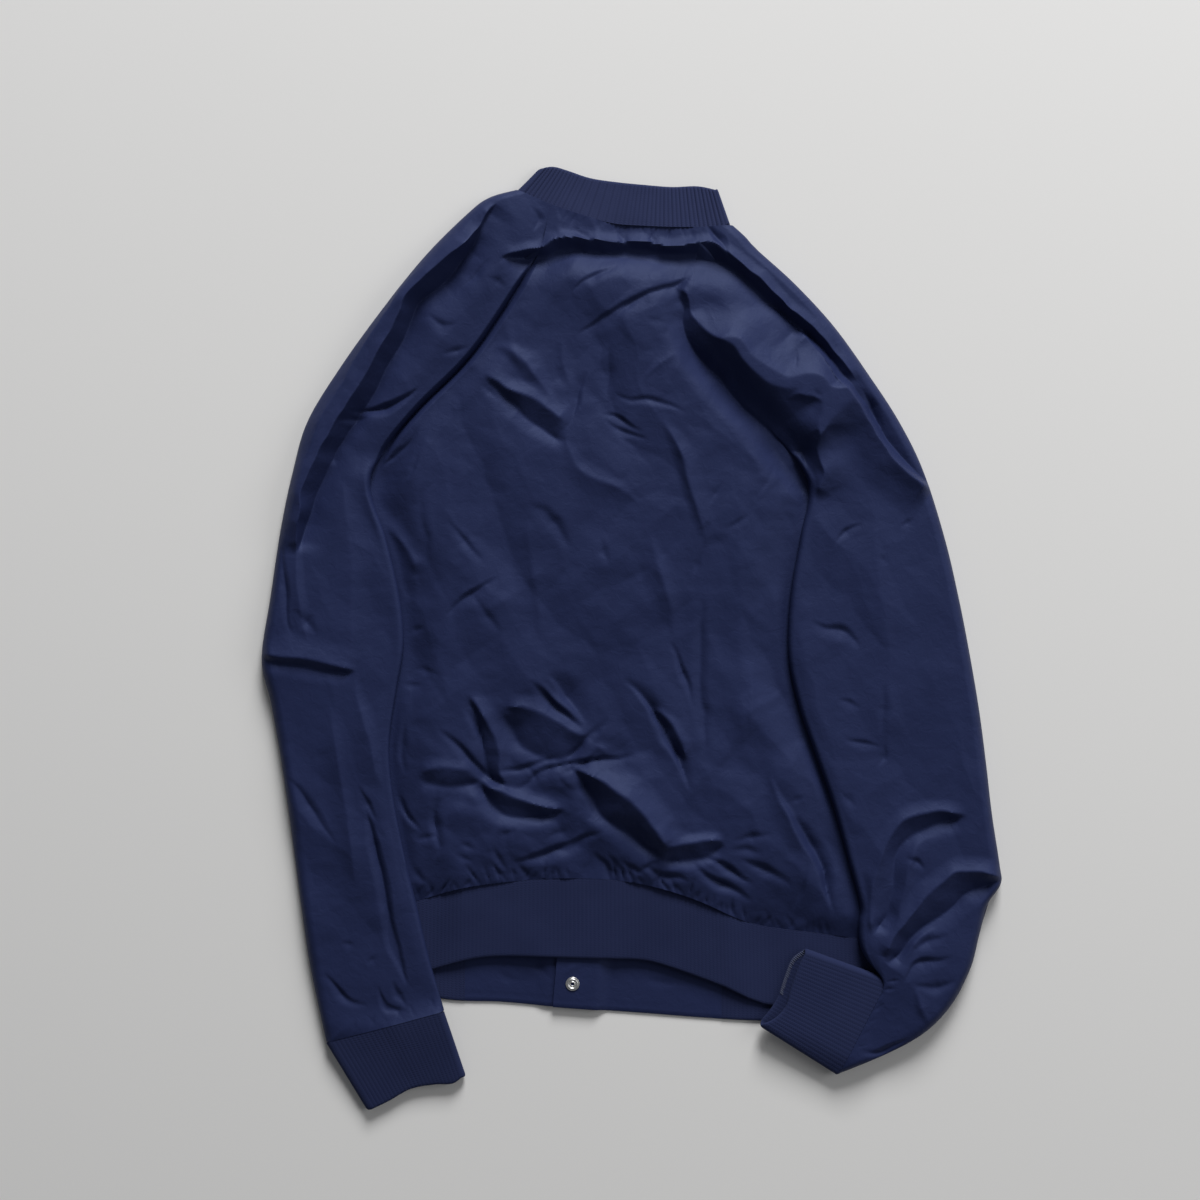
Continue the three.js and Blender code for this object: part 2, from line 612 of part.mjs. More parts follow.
// A whole band that lies doubled: front stretch, turn, back stretch, turn, front.
function doubledBand({ frontRight, back, frontLeft, turnSteps, rows }) {
  frontRight.at(-1).inward = frontRight.at(-2).seam;
  back.at(-1).inward = back.at(-2).seam;
  const columns = [
    ...frontRight, ...turnColumns(frontRight.at(-1), back[0], turnSteps),
    ...back, ...turnColumns(back.at(-1), frontLeft[0], turnSteps), ...frontLeft,
  ];
  return band(columns, rows, frontRight.length + turnSteps - 1, back.length - 1);
}

const planLength = (points) => points.slice(1).reduce((sum, p, k) => sum + p.distanceTo(points[k]), 0);
const ribColumns = (points) => 2 * Math.round(planLength(points) / RIB_PITCH);
const FLAT = KNIT / 2; // middle of a band that lies on the table
const COLLAR_TURN = 2.9; // radius of the collar's turn at the shoulders
const HEM_TURN = (KNIT + GAP) / 2 + 0.2;

// A line without its ends, so that the turns of a band stay inside its outline.
function trimmed(points, from, to) {
  const length = planLength(points);
  const start = from / length;
  const end = 1 - to / length;
  const inside = points.filter((_, k) => {
    const share = planLength(points.slice(0, k + 1)) / length;
    return share > start + 1e-6 && share < end - 1e-6;
  });
  const [a, b] = onPolyline(points, [start, end]);
  return [a, ...inside, b];
}

const reversed = (points) => [...points].reverse();
const onTable = () => [FLAT, FLAT];

function collar() {
  const [leftEnd, rightEnd] = [LEFT_SLEEVE[0].fold, RIGHT_SLEEVE[0].fold].map(vec);
  const turn = COLLAR_TURN + KNIT / 2 + RIB_RISE + 1.5;
  const seam = trimmed([leftEnd, ...along(BACK_NECK, COLUMNS), rightEnd], turn, turn);
  const edge = trimmed(along(COLLAR_BACK_EDGE, 40), turn, turn);
  const backLow = FLAT + 2 * COLLAR_TURN;
  const backHeights = (x) => {
    const crown = smooth((x + 104) / 50) * smooth((91 - x) / 50);
    return [mix(backLow, NECK_LOFT, crown), mix(backLow, 8.6, crown)];
  };

  const frontEdgeLine = along(COLLAR_FRONT_EDGE, 40);
  const middle = new THREE.Vector2(CENTRE_NECK.x, 334);
  const isLeft = (p) => p.x < CENTRE_NECK.x;
  const isRight = (p) => p.x > CENTRE_NECK.x;
  const leftNeck = along(LEFT_FRONT_NECK, 10).filter(isLeft);
  const rightNeck = along(RIGHT_FRONT_NECK, 10).filter(isRight);
  const leftSeam = trimmed([leftEnd, ...leftNeck, CENTRE_NECK], turn, GAP);
  const leftEdge = trimmed([...frontEdgeLine.filter(isLeft), middle], turn, GAP);
  const rightSeam = trimmed([CENTRE_NECK, ...rightNeck, rightEnd], GAP, turn);
  const rightEdge = trimmed([middle, ...frontEdgeLine.filter(isRight)], GAP, turn);
  return doubledBand({
    frontRight: flatColumns(rightSeam, rightEdge, 9, onTable, -1),
    back: flatColumns(reversed(seam), reversed(edge), ribColumns(seam), backHeights, 1),
    frontLeft: flatColumns(leftSeam, leftEdge, 9, onTable, -1),
    turnSteps: 5,
    rows: 2,
  });
}

function waistband() {
  const turn = HEM_TURN + KNIT / 2 + RIB_RISE;
  const seam = trimmed(onPolyline(along(BACK_HEM, 40), range(COLUMNS)), turn, turn);
  const edge = trimmed(hemEdge, turn, turn);
  const backLow = FLAT + 2 * HEM_TURN;
  const backHeights = (x) => {
    const crown = hemCrown(x);
    return [mix(backLow, hemTop(x) - FLAT, crown), mix(backLow, 8.4, crown)];
  };

  const frontSeam = along(FRONT_HEM, 40);
  const stretch = (from, to, count) => {
    const [seams, edges] = [frontSeam, frontEdge].map((line) => range(8).map((t) => {
      const x = mix(from, to, t);
      return new THREE.Vector2(x, yAt(line, x));
    }));
    return flatColumns(seams, edges, count, onTable, -1);
  };
  const [left, right] = [BACK_HEM[0][0] + turn, BACK_HEM.at(-1)[0] - turn];
  return doubledBand({
    frontRight: stretch(RIGHT_RIB_END + GAP / 2, right, 10),
    back: flatColumns(reversed(seam), reversed(edge), ribColumns(seam), backHeights, 1),
    frontLeft: stretch(left, LEFT_RIB_END - GAP / 2, 6),
    turnSteps: 5,
    rows: 2,
  });
}

// A woven tab of the waistband, from its edge on the placket to its rib.
function hemTab(edge, rib, underside) {
  const seam = along(FRONT_HEM, 32);
  const shares = frontColumns(Math.abs(rib - edge));
  const slant = HEM_DEPTH * centreLine.x / centreLine.y;
  const plan = inset(range(3).map((v) => shares.map((s) => {
    const x = mix(edge - slant * v, rib, s);
    return new THREE.Vector2(x, mix(yAt(seam, x), yAt(frontEdge, x), v));
  })));
  return wall(lifted(plan, underside), lifted(plan, (x, y) => underside(x, y) + KNIT));
}

// A cuff is a ring: ribbed upper layer, turn at the underarm, lower layer, turn.
function cuff(table, mouths) {
  const end = table[table.length - 1];
  const seam = [vec(end.fold), vec(end.back)];
  const turn = CUFF_LOFT / 2;
  const upperSeam = trimmed(seam, turn, turn);
  const upperMouth = trimmed(along(mouths.upper, 24), turn, turn);
  const lowerMouth = trimmed(along(mouths.lower, 24), turn, turn);
  const ribs = 2 * Math.round(planLength(upperSeam) / RIB_PITCH);
  const layer = (mouth, count, offset, face) => {
    const shares = range(count);
    const seams = onPolyline(upperSeam, shares);
    const edges = onPolyline(mouth, shares);
    return shares.map((_, k) => {
      const from = drawnIn(seams[k], edges[k], 3 * SEAM_INSET);
      const [low, high] = [from, edges[k]].map((p) => restAt(p.x, p.y) + offset);
      return { seam: from, edge: edges[k], low, high, face: new THREE.Vector3(0, 0, face) };
    });
  };
  const upper = layer(upperMouth, ribs, CUFF_LOFT - FLAT, 1);
  const lower = reversed(layer(lowerMouth, 12, FLAT, -1));
  upper.at(-1).inward = upper.at(-2).seam;
  lower.at(-1).inward = lower.at(-2).seam;
  const turnSteps = 5;
  const columns = [
    ...upper, ...turnColumns(upper.at(-1), lower[0], turnSteps),
    ...lower, ...turnColumns(lower.at(-1), upper[0], turnSteps),
  ];
  return band(columns, 3, 0, ribs, true);
}

// ---------------------------------------------------------------- snaps
// A turned ring or disc that stands on z = 0.
function turned(profile) {
  const closed = [...profile, profile[0]].map(vec);
  return new THREE.LatheGeometry(closed, 12).rotateX(Math.PI / 2);
}

const snapCap = () => turned([
  [0, 0], [SNAP.radius - 1, 0], [SNAP.radius, SNAP.cap / 2], [SNAP.radius, SNAP.cap], [0, SNAP.cap],
]);
const snapRing = () => turned([
  [SNAP.eyelet, 0], [SNAP.radius, 0], [SNAP.radius - 0.6, SNAP.ring], [SNAP.eyelet + 1.2, SNAP.ring],
]);

// ---------------------------------------------------------------- the jacket
const jacket = new THREE.Group();
jacket.name = "bomber_jacket";

const nylon = { color: 0x2a3051, roughness: 0.55, metalness: 0 };
const knit = { color: 0x272e4c, roughness: 0.9, metalness: 0 };
const steel = { color: 0xc9c8c4, roughness: 0.3, metalness: 1 };

function add(name, geometry, finish) {
  const mesh = new THREE.Mesh(geometry, new THREE.MeshStandardMaterial(finish));
  mesh.name = name;
  jacket.add(mesh);
  return mesh;
}

add("back", backPanel(), nylon);
add("front_left", frontPanel(leftFrontPlan, lowerFront), nylon);
add("front_right", frontPanel(rightFrontPlan, upperFront), nylon);
add("sleeve_left", sleeve(LEFT_SLEEVE, LEFT_FOLDS), nylon);
add("sleeve_right", sleeve(RIGHT_SLEEVE, RIGHT_FOLDS), nylon);
add("collar", collar(), knit);
add("waistband", waistband(), knit);
add("cuff_left", cuff(LEFT_SLEEVE, LEFT_CUFF), knit);
add("cuff_right", cuff(RIGHT_SLEEVE, RIGHT_CUFF), knit);
add("hem_tab_left", hemTab(hemAt(leftEdge), LEFT_RIB_END, lowerFront), nylon);
add("hem_tab_right", hemTab(hemAt(rightEdge), RIGHT_RIB_END, upperFront), nylon);

// Snaps down centre front: a cap under the outer front, a ring on the inner one.
for (let k = 0; k < SNAP.count; k++) {
  const share = k === 0 ? 0 : mix(SNAP.first, SNAP.last, (k - 1) / (SNAP.count - 2));
  const spot = CENTRE_HEM.clone().lerp(CENTRE_NECK, share);
  const cloth = k === 0 ? KNIT : WOVEN;
  add(`snap_cap_${k + 1}`, snapCap(), steel).position.set(spot.x, spot.y, 0);
  add(`snap_ring_${k + 1}`, snapRing(), steel).position.set(spot.x, spot.y, UPPER_LIFT + cloth + GAP);
}

export default jacket;
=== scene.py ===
"""A navy bomber jacket laid flat with its back up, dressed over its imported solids.

The jacket's sizes and tables are in millimetres in the frame of the solids:
+X to the right seen from above, +Y towards the collar, +Z up from the table.
"""
import math
from collections import namedtuple

import bpy
import numpy as np
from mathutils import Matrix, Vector


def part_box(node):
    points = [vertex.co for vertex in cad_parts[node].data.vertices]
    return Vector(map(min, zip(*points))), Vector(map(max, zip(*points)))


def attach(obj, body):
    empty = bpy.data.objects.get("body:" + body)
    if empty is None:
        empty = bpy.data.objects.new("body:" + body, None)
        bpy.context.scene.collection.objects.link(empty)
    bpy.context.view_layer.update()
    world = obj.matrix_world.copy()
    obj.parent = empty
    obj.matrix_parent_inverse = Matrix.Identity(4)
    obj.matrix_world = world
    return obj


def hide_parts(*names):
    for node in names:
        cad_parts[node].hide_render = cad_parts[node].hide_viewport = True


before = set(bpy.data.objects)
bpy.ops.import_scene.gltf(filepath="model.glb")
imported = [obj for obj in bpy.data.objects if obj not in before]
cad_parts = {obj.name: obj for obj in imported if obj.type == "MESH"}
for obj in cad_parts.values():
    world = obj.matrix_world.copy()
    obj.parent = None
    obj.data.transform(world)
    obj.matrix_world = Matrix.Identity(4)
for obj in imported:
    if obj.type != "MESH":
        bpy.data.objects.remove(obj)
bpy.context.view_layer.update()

MM = 0.001
rng = np.random.default_rng(7)

# ---- driving sizes
# The walls and their ribs.
WOVEN = 1.6
KNIT = 2.4
RIB_PITCH = 3.65
RIB_RISE = 0.8
RIB_COLUMNS = 6  # columns of points to a rib
STITCH_PITCH = 2.1  # from one row of knitted stitches to the next
GAP = 0.3  # between pieces at a seam
SEAM_INSET = 0.05  # how far a sheet's edge is drawn in from its seam
TURN_INSET = 0.8  # the same, at the middle of a band's turn
# The fronts' overlap, and how far each front is lifted from the table in it.
PLACKET = 32.0
RAMP = 14.0  # over which a front rises from the table
FULL_LIFT = PLACKET / 2 + 4  # from the centre line to the top of the ramp
LOWER_LIFT = 1.5
UPPER_LIFT = LOWER_LIFT + KNIT + GAP
CENTRE_HEM = np.array([-53.0, -309.0])
CENTRE_NECK = np.array([-2.0, 288.0])
# Heights and lofts.
FLAT = KNIT / 2  # the middle of a knitted wall that lies on the table
LAYERS = 2 * WOVEN + GAP  # two woven layers pressed flat
SIDE_SEAM = LAYERS
SLEEVE_REST = SIDE_SEAM + 1.1  # underside of a sleeve that lies on the body's edge
HEM_REST = 8.2  # underside of a sleeve or cuff that lies on the waistband
OVER_SNAPS = 10.2  # the back's lowest top over the snaps
OVER_COLLAR = 5.0  # the same over the collar
BACK_LOFT = 18.0  # the back's middle without its folds
SEAM_LOFT = 13.0  # the raglan seams
NECK_LOFT = 10.5
COLLAR_EDGE = 5.4
HEM_EDGE = 9.2
HEM_LOFT = 5.2  # how far the waistband's back stands over two flat layers of rib
CUFF_LOFT = 9.0
EDGE_LOFT = 6.0  # how much more the body's side holds up the edge of a sleeve
HIGHEST = 32.0
# The sleeves.
ARMPIT = 7  # the row of a sleeve's table at the armpit
ARMPIT_Y = 139.0
EDGE_ROLL = 11.0  # radius of the outer fold
# The bands.
HEM_DEPTH = 68.0
COLLAR_TURN = 2.9  # half the distance between both layers at the turn
HEM_TURN = (KNIT + GAP) / 2 + 0.2
LEFT_RIB_END = -150.0
RIGHT_RIB_END = 81.0
# The snaps.
SNAP_COUNT = 7
SNAP_RADIUS = 6.2
# Points in each grid, and every how many of them the inside has one.
BACK_ROWS, BACK_COLUMNS = 341, 281
BACK_ROW_STEP, BACK_COLUMN_STEP = 17, 14
FRONT_ROWS, FRONT_COLUMNS = 121, 61
TAB_ROWS, TAB_COLUMNS = 31, 61
SLEEVE_ROWS, SLEEVE_COLUMNS = 521, 146
SLEEVE_ROW_STEP, SLEEVE_COLUMN_STEP = 13, 12
UNDER_COLUMNS = 11  # of a sleeve's lower layer
BAND_ROWS, CUFF_ROWS = 22, 20
SHARP_EDGE = 55  # degrees from which an edge is shaded sharp
# The stage, in metres.
VIEW_WIDTH = 1.074  # across the picture, at the jacket
JACKET_MIDDLE = 0.01  # its height above the table
CAMERA_HEIGHT = 1.9
CAMERA_OVER = (-0.0284, 0.0351)
FLOOR_REACH = 6.0
FLOOR_TOP = -0.0001
LIGHTS = {
    "key": {"place": (0.8, 5.2, 2.8), "size": 2.3, "watts": 406},
    "fill": {"place": (3.2, 0.6, 2.4), "size": 2.4, "watts": 32},
}
SURROUNDINGS = 0.12

# Sleeve sections from the collar to the cuff: x and y of the upper layer's edge, of
# the lower layer's edge and of the outer fold, and the loft.
UPPER_EDGE, LOWER_EDGE, OUTER_FOLD, LOFT = slice(0, 2), slice(2, 4), slice(4, 6), slice(6, 7)
LEFT_SLEEVE = np.array([
    [-72, 389, -94, 368, -104, 403, 12],
    [-78, 367, -99, 351, -128, 396, 14],
    [-84, 345, -104, 335, -147, 382, 15],
    [-112, 300, -124, 298, -185, 344, 17],
    [-146, 252, -152, 254, -226, 293, 17],
    [-190, 208, -190, 210, -262, 243, 17],
    [-221, 170, -221, 170, -291, 195, 17],
    [-234, 138, -234, 138, -304, 150, 17],
    [-220, 90, -220, 90, -315, 98, 17],
    [-208, 40, -208, 40, -324, 38, 18],
    [-204, -4, -204, -4, -332, -18, 18],
    [-211, -48, -211, -48, -324, -56, 17],
    [-217, -95, -217, -95, -316, -100, 17],
    [-213, -142, -213, -142, -309, -146, 17],
    [-203, -195, -203, -195, -302, -198, 16],
    [-192, -240, -192, -240, -296, -243, 16],
    [-181, -287, -181, -287, -288, -296, 15],
    [-168, -332, -168, -332, -274, -361, 12],
], float)
RIGHT_SLEEVE = np.array([
    [64, 369, 84, 345, 91, 371, 12],
    [60, 352, 82, 333, 102, 361, 14],
    [57, 335, 80, 320, 113, 349, 15],
    [55, 300, 76, 290, 146, 319, 17],
    [67, 260, 82, 255, 181, 281, 18],
    [94, 220, 100, 220, 212, 238, 18],
    [130, 182, 130, 182, 240, 195, 18],
    [158, 140, 158, 140, 262, 150, 18],
    [151, 92, 151, 92, 281, 90, 19],
    [142, 40, 142, 40, 294, 34, 20],
    [140, -12, 140, -12, 304, -18, 20],
    [149, -58, 149, -58, 312, -66, 20],
    [164, -102, 164, -102, 318, -112, 20],
    [180, -148, 180, -148, 323, -156, 20],
    [194, -198, 194, -198, 330, -202, 20],
    [204, -236, 204, -236, 331, -219, 20],
    [203, -253, 203, -253, 319, -238, 20],
    [203, -267, 203, -267, 312, -264, 20],
    [206, -279, 206, -279, 303, -297, 20],
    [212, -289, 212, -289, 282, -334, 19],
    [221, -298, 221, -298, 247, -361, 18],
    [229, -303, 229, -303, 184, -390, 17],
], float)
# Side seams, necklines and hem seams of the body, then the edges of the bands.
LEFT_SIDE = [[-234, 138], [-252, 105], [-262, 60], [-262, 0], [-256, -70], [-244, -150],
             [-231, -208], [-222, -245]]
RIGHT_SIDE = [[158, 140], [184, 108], [206, 60], [214, 0], [219, -70], [223, -150],
              [226, -212], [226, -271]]
BACK_NECK = [[-72, 389], [-42, 379], [-16, 372], [10, 370], [36, 369], [64, 369]]
BACK_HEM = [[-222, -245], [-192, -235], [-143, -221], [-63, -214], [3, -218], [55, -232],
            [108, -255], [162, -263], [226, -271]]
LEFT_FRONT_NECK = [[-94, 368], [-84, 334], [-60, 306], [-26, 290], [14, 287]]
RIGHT_FRONT_NECK = [[-18, 289], [22, 289], [54, 300], [76, 320], [84, 345]]
FRONT_HEM = [[-222, -245], [-165, -256], [-72, -262], [3, -266], [114, -271], [226, -271]]
COLLAR_BACK_EDGE = [[-84, 421], [-71, 423.5], [-57, 420], [-37, 413.5], [-14, 410],
                    [11, 407.5], [36, 405.5], [60, 406], [81, 401]]
COLLAR_FRONT_EDGE = [[-84, 421], [-72, 384], [-54, 356], [-30, 340], [-2, 334], [26, 338],
                     [46, 354], [64, 378], [81, 401]]
HEM_BACK_EDGE = [[-223, -312], [-177, -296], [-140, -286], [-103, -284], [-39, -286],
                 [3, -287], [29, -292], [82, -311], [126, -329], [228, -342]]
HEM_FRONT_EDGE = [[-223, -312], [-165, -324], [-118, -326], [-72, -330], [3, -335.5],
                  [114, -343], [228, -342]]
LEFT_MOUTH = [[-237, -423], [-218, -414], [-198, -403], [-177, -399], [-160, -398], [-150, -390]]
LEFT_CUFF = {"upper": LEFT_MOUTH, "lower": LEFT_MOUTH}
RIGHT_CUFF = {
    "upper": [[113, -344], [126, -339], [137, -328], [142, -311], [149, -292], [156, -277]],
    "lower": [[113, -344], [122, -334], [131, -320], [137, -302], [144, -286], [156, -277]],
}


# ---- small maths
def smooth(t):
    t = np.clip(t, 0, 1)
    return t * t * (3 - 2 * t)


def step(value, start, end):
    """A soft step: 0 up to the start, 1 from the end on, which may be the smaller."""
    return smooth((value - start) / (end - start))


def domed(distance, width):
    """0 at an edge, rising ever more slowly to 1 at the width from it."""
    return 1 - (1 - np.clip(distance / width, 0, 1)) ** 2


def mix(a, b, t):
    return a + (b - a) * t


def spline_at(points, t):
    """Catmull-Rom through the rows of points, at shares t of the way through the rows."""
    points = np.asarray(points, float)
    n = len(points)
    place = np.clip(np.asarray(t, float), 0, 1) * (n - 1)
    k = np.minimum(place.astype(int), n - 2)
    w = (place - k)[..., None]
    p0 = points[np.maximum(k - 1, 0)]
    p1 = points[k]
    p2 = points[k + 1]
    p3 = points[np.minimum(k + 2, n - 1)]
    v0 = (p2 - p0) / 2
    v1 = (p3 - p1) / 2
    return (2 * p1 - 2 * p2 + v0 + v1) * w**3 + (-3 * p1 + 3 * p2 - 2 * v0 - v1) * w**2 + v0 * w + p1


def along(points, n):
    """A smooth line through the points, in n steps."""
    return spline_at(points, np.linspace(0, 1, n + 1))


def lengths(line):
    """The length of a polyline up to each of its points."""
    return np.concatenate([[0], np.cumsum(np.linalg.norm(np.diff(line, axis=0), axis=1))])


def on_line(line, shares):
    """Points of a polyline at shares of its length."""
    run = lengths(line)
    at = np.asarray(shares) * run[-1]
    return np.stack([np.interp(at, run, line[:, k]) for k in range(line.shape[1])], -1)


def x_at(line, y):
    """x at the height y, on a line that runs from the collar towards the hem."""
    return np.interp(-y, -line[:, 1], line[:, 0])


def y_at(line, x):
    """y at x, on a line that runs to the right."""
    return np.interp(x, line[:, 0], line[:, 1])


# ---- folds
# A crease is one line, a ridge or a trough: its rise in the middle (a trough's is
# negative) and how far it fades on the left and on the right of the line's direction.
# A facet is a slope between two lines: it drops from its ridge to its valley, which lies
# on the right of it, and fades above the one and below the other.
Crease = namedtuple("Crease", "rise left right line")
Facet = namedtuple("Facet", "drop above below ridge valley")

# Folds that run over the raglan seams.
SHOULDER_FOLDS = [
    # Under the collar and down behind the right shoulder.
    Facet(12, 9, 26,
          [(-120, 341), (-98, 347), (-80, 352), (-64, 359), (-20, 356), (10, 357), (36, 352),
           (68, 354), (83, 345), (110, 325), (135, 301), (160, 279), (182, 255), (200, 230)],
          [(-120, 340), (-98, 342), (-78, 344), (-60, 347), (-25, 345), (0, 348), (35, 345), (58, 343),
           (80, 332), (98, 322), (115, 305), (135, 290), (150, 274), (165, 256), (190, 222)]),
    Crease(3, 4, 30, [(56, 341), (80, 331), (98, 321), (115, 304), (150, 273), (165, 256)]),
    # The bright edge down the outside of the right arm.
    Facet(10, 34, 14,
          [(270, 132), (240, 155), (225, 172), (210, 195), (186, 229), (165, 256), (148, 276)],
          [(272, 136), (245, 160), (230, 177), (215, 200), (191, 233), (169, 260), (150, 278)]),
    # Puckers under the collar.
    Crease(-3.5, 4, 7, [(-54, 370), (-47, 363), (-38, 359), (-30, 357)]),
    Crease(-3.5, 6, 4, [(-13, 366), (-6, 358), (2, 353)]),
    Crease(-3.5, 6, 4, [(14, 365), (22, 355), (30, 350)]),
    Crease(-4, 7, 5, [(66, 372), (77, 356), (86, 339)]),
    Crease(-2.5, 5, 5, [(-90, 388), (-84, 378), (-88, 366)]),
    Crease(2, 6, 6, [(-70, 372), (-60, 362), (-50, 356)]),
    # From the right shoulder down to the raglan seam.
    Facet(21, 36, 18,
          [(36, 315), (48, 309), (53, 290), (70, 273), (92, 262), (103, 248), (130, 229),
           (146, 226), (168, 228), (177, 212), (166, 190), (164, 168), (170, 148), (161, 125)],
          [(38, 311), (46, 296), (47, 282), (56, 260), (80, 228), (110, 198), (140, 170),
           (151, 167), (156, 150), (157, 132), (160, 124)]),
    Crease(4.5, 7, 6, [(138, 213), (152, 217), (172, 211)]),
    Crease(3, 4, 5, [(176, 206), (168, 190), (162, 172)]),
]
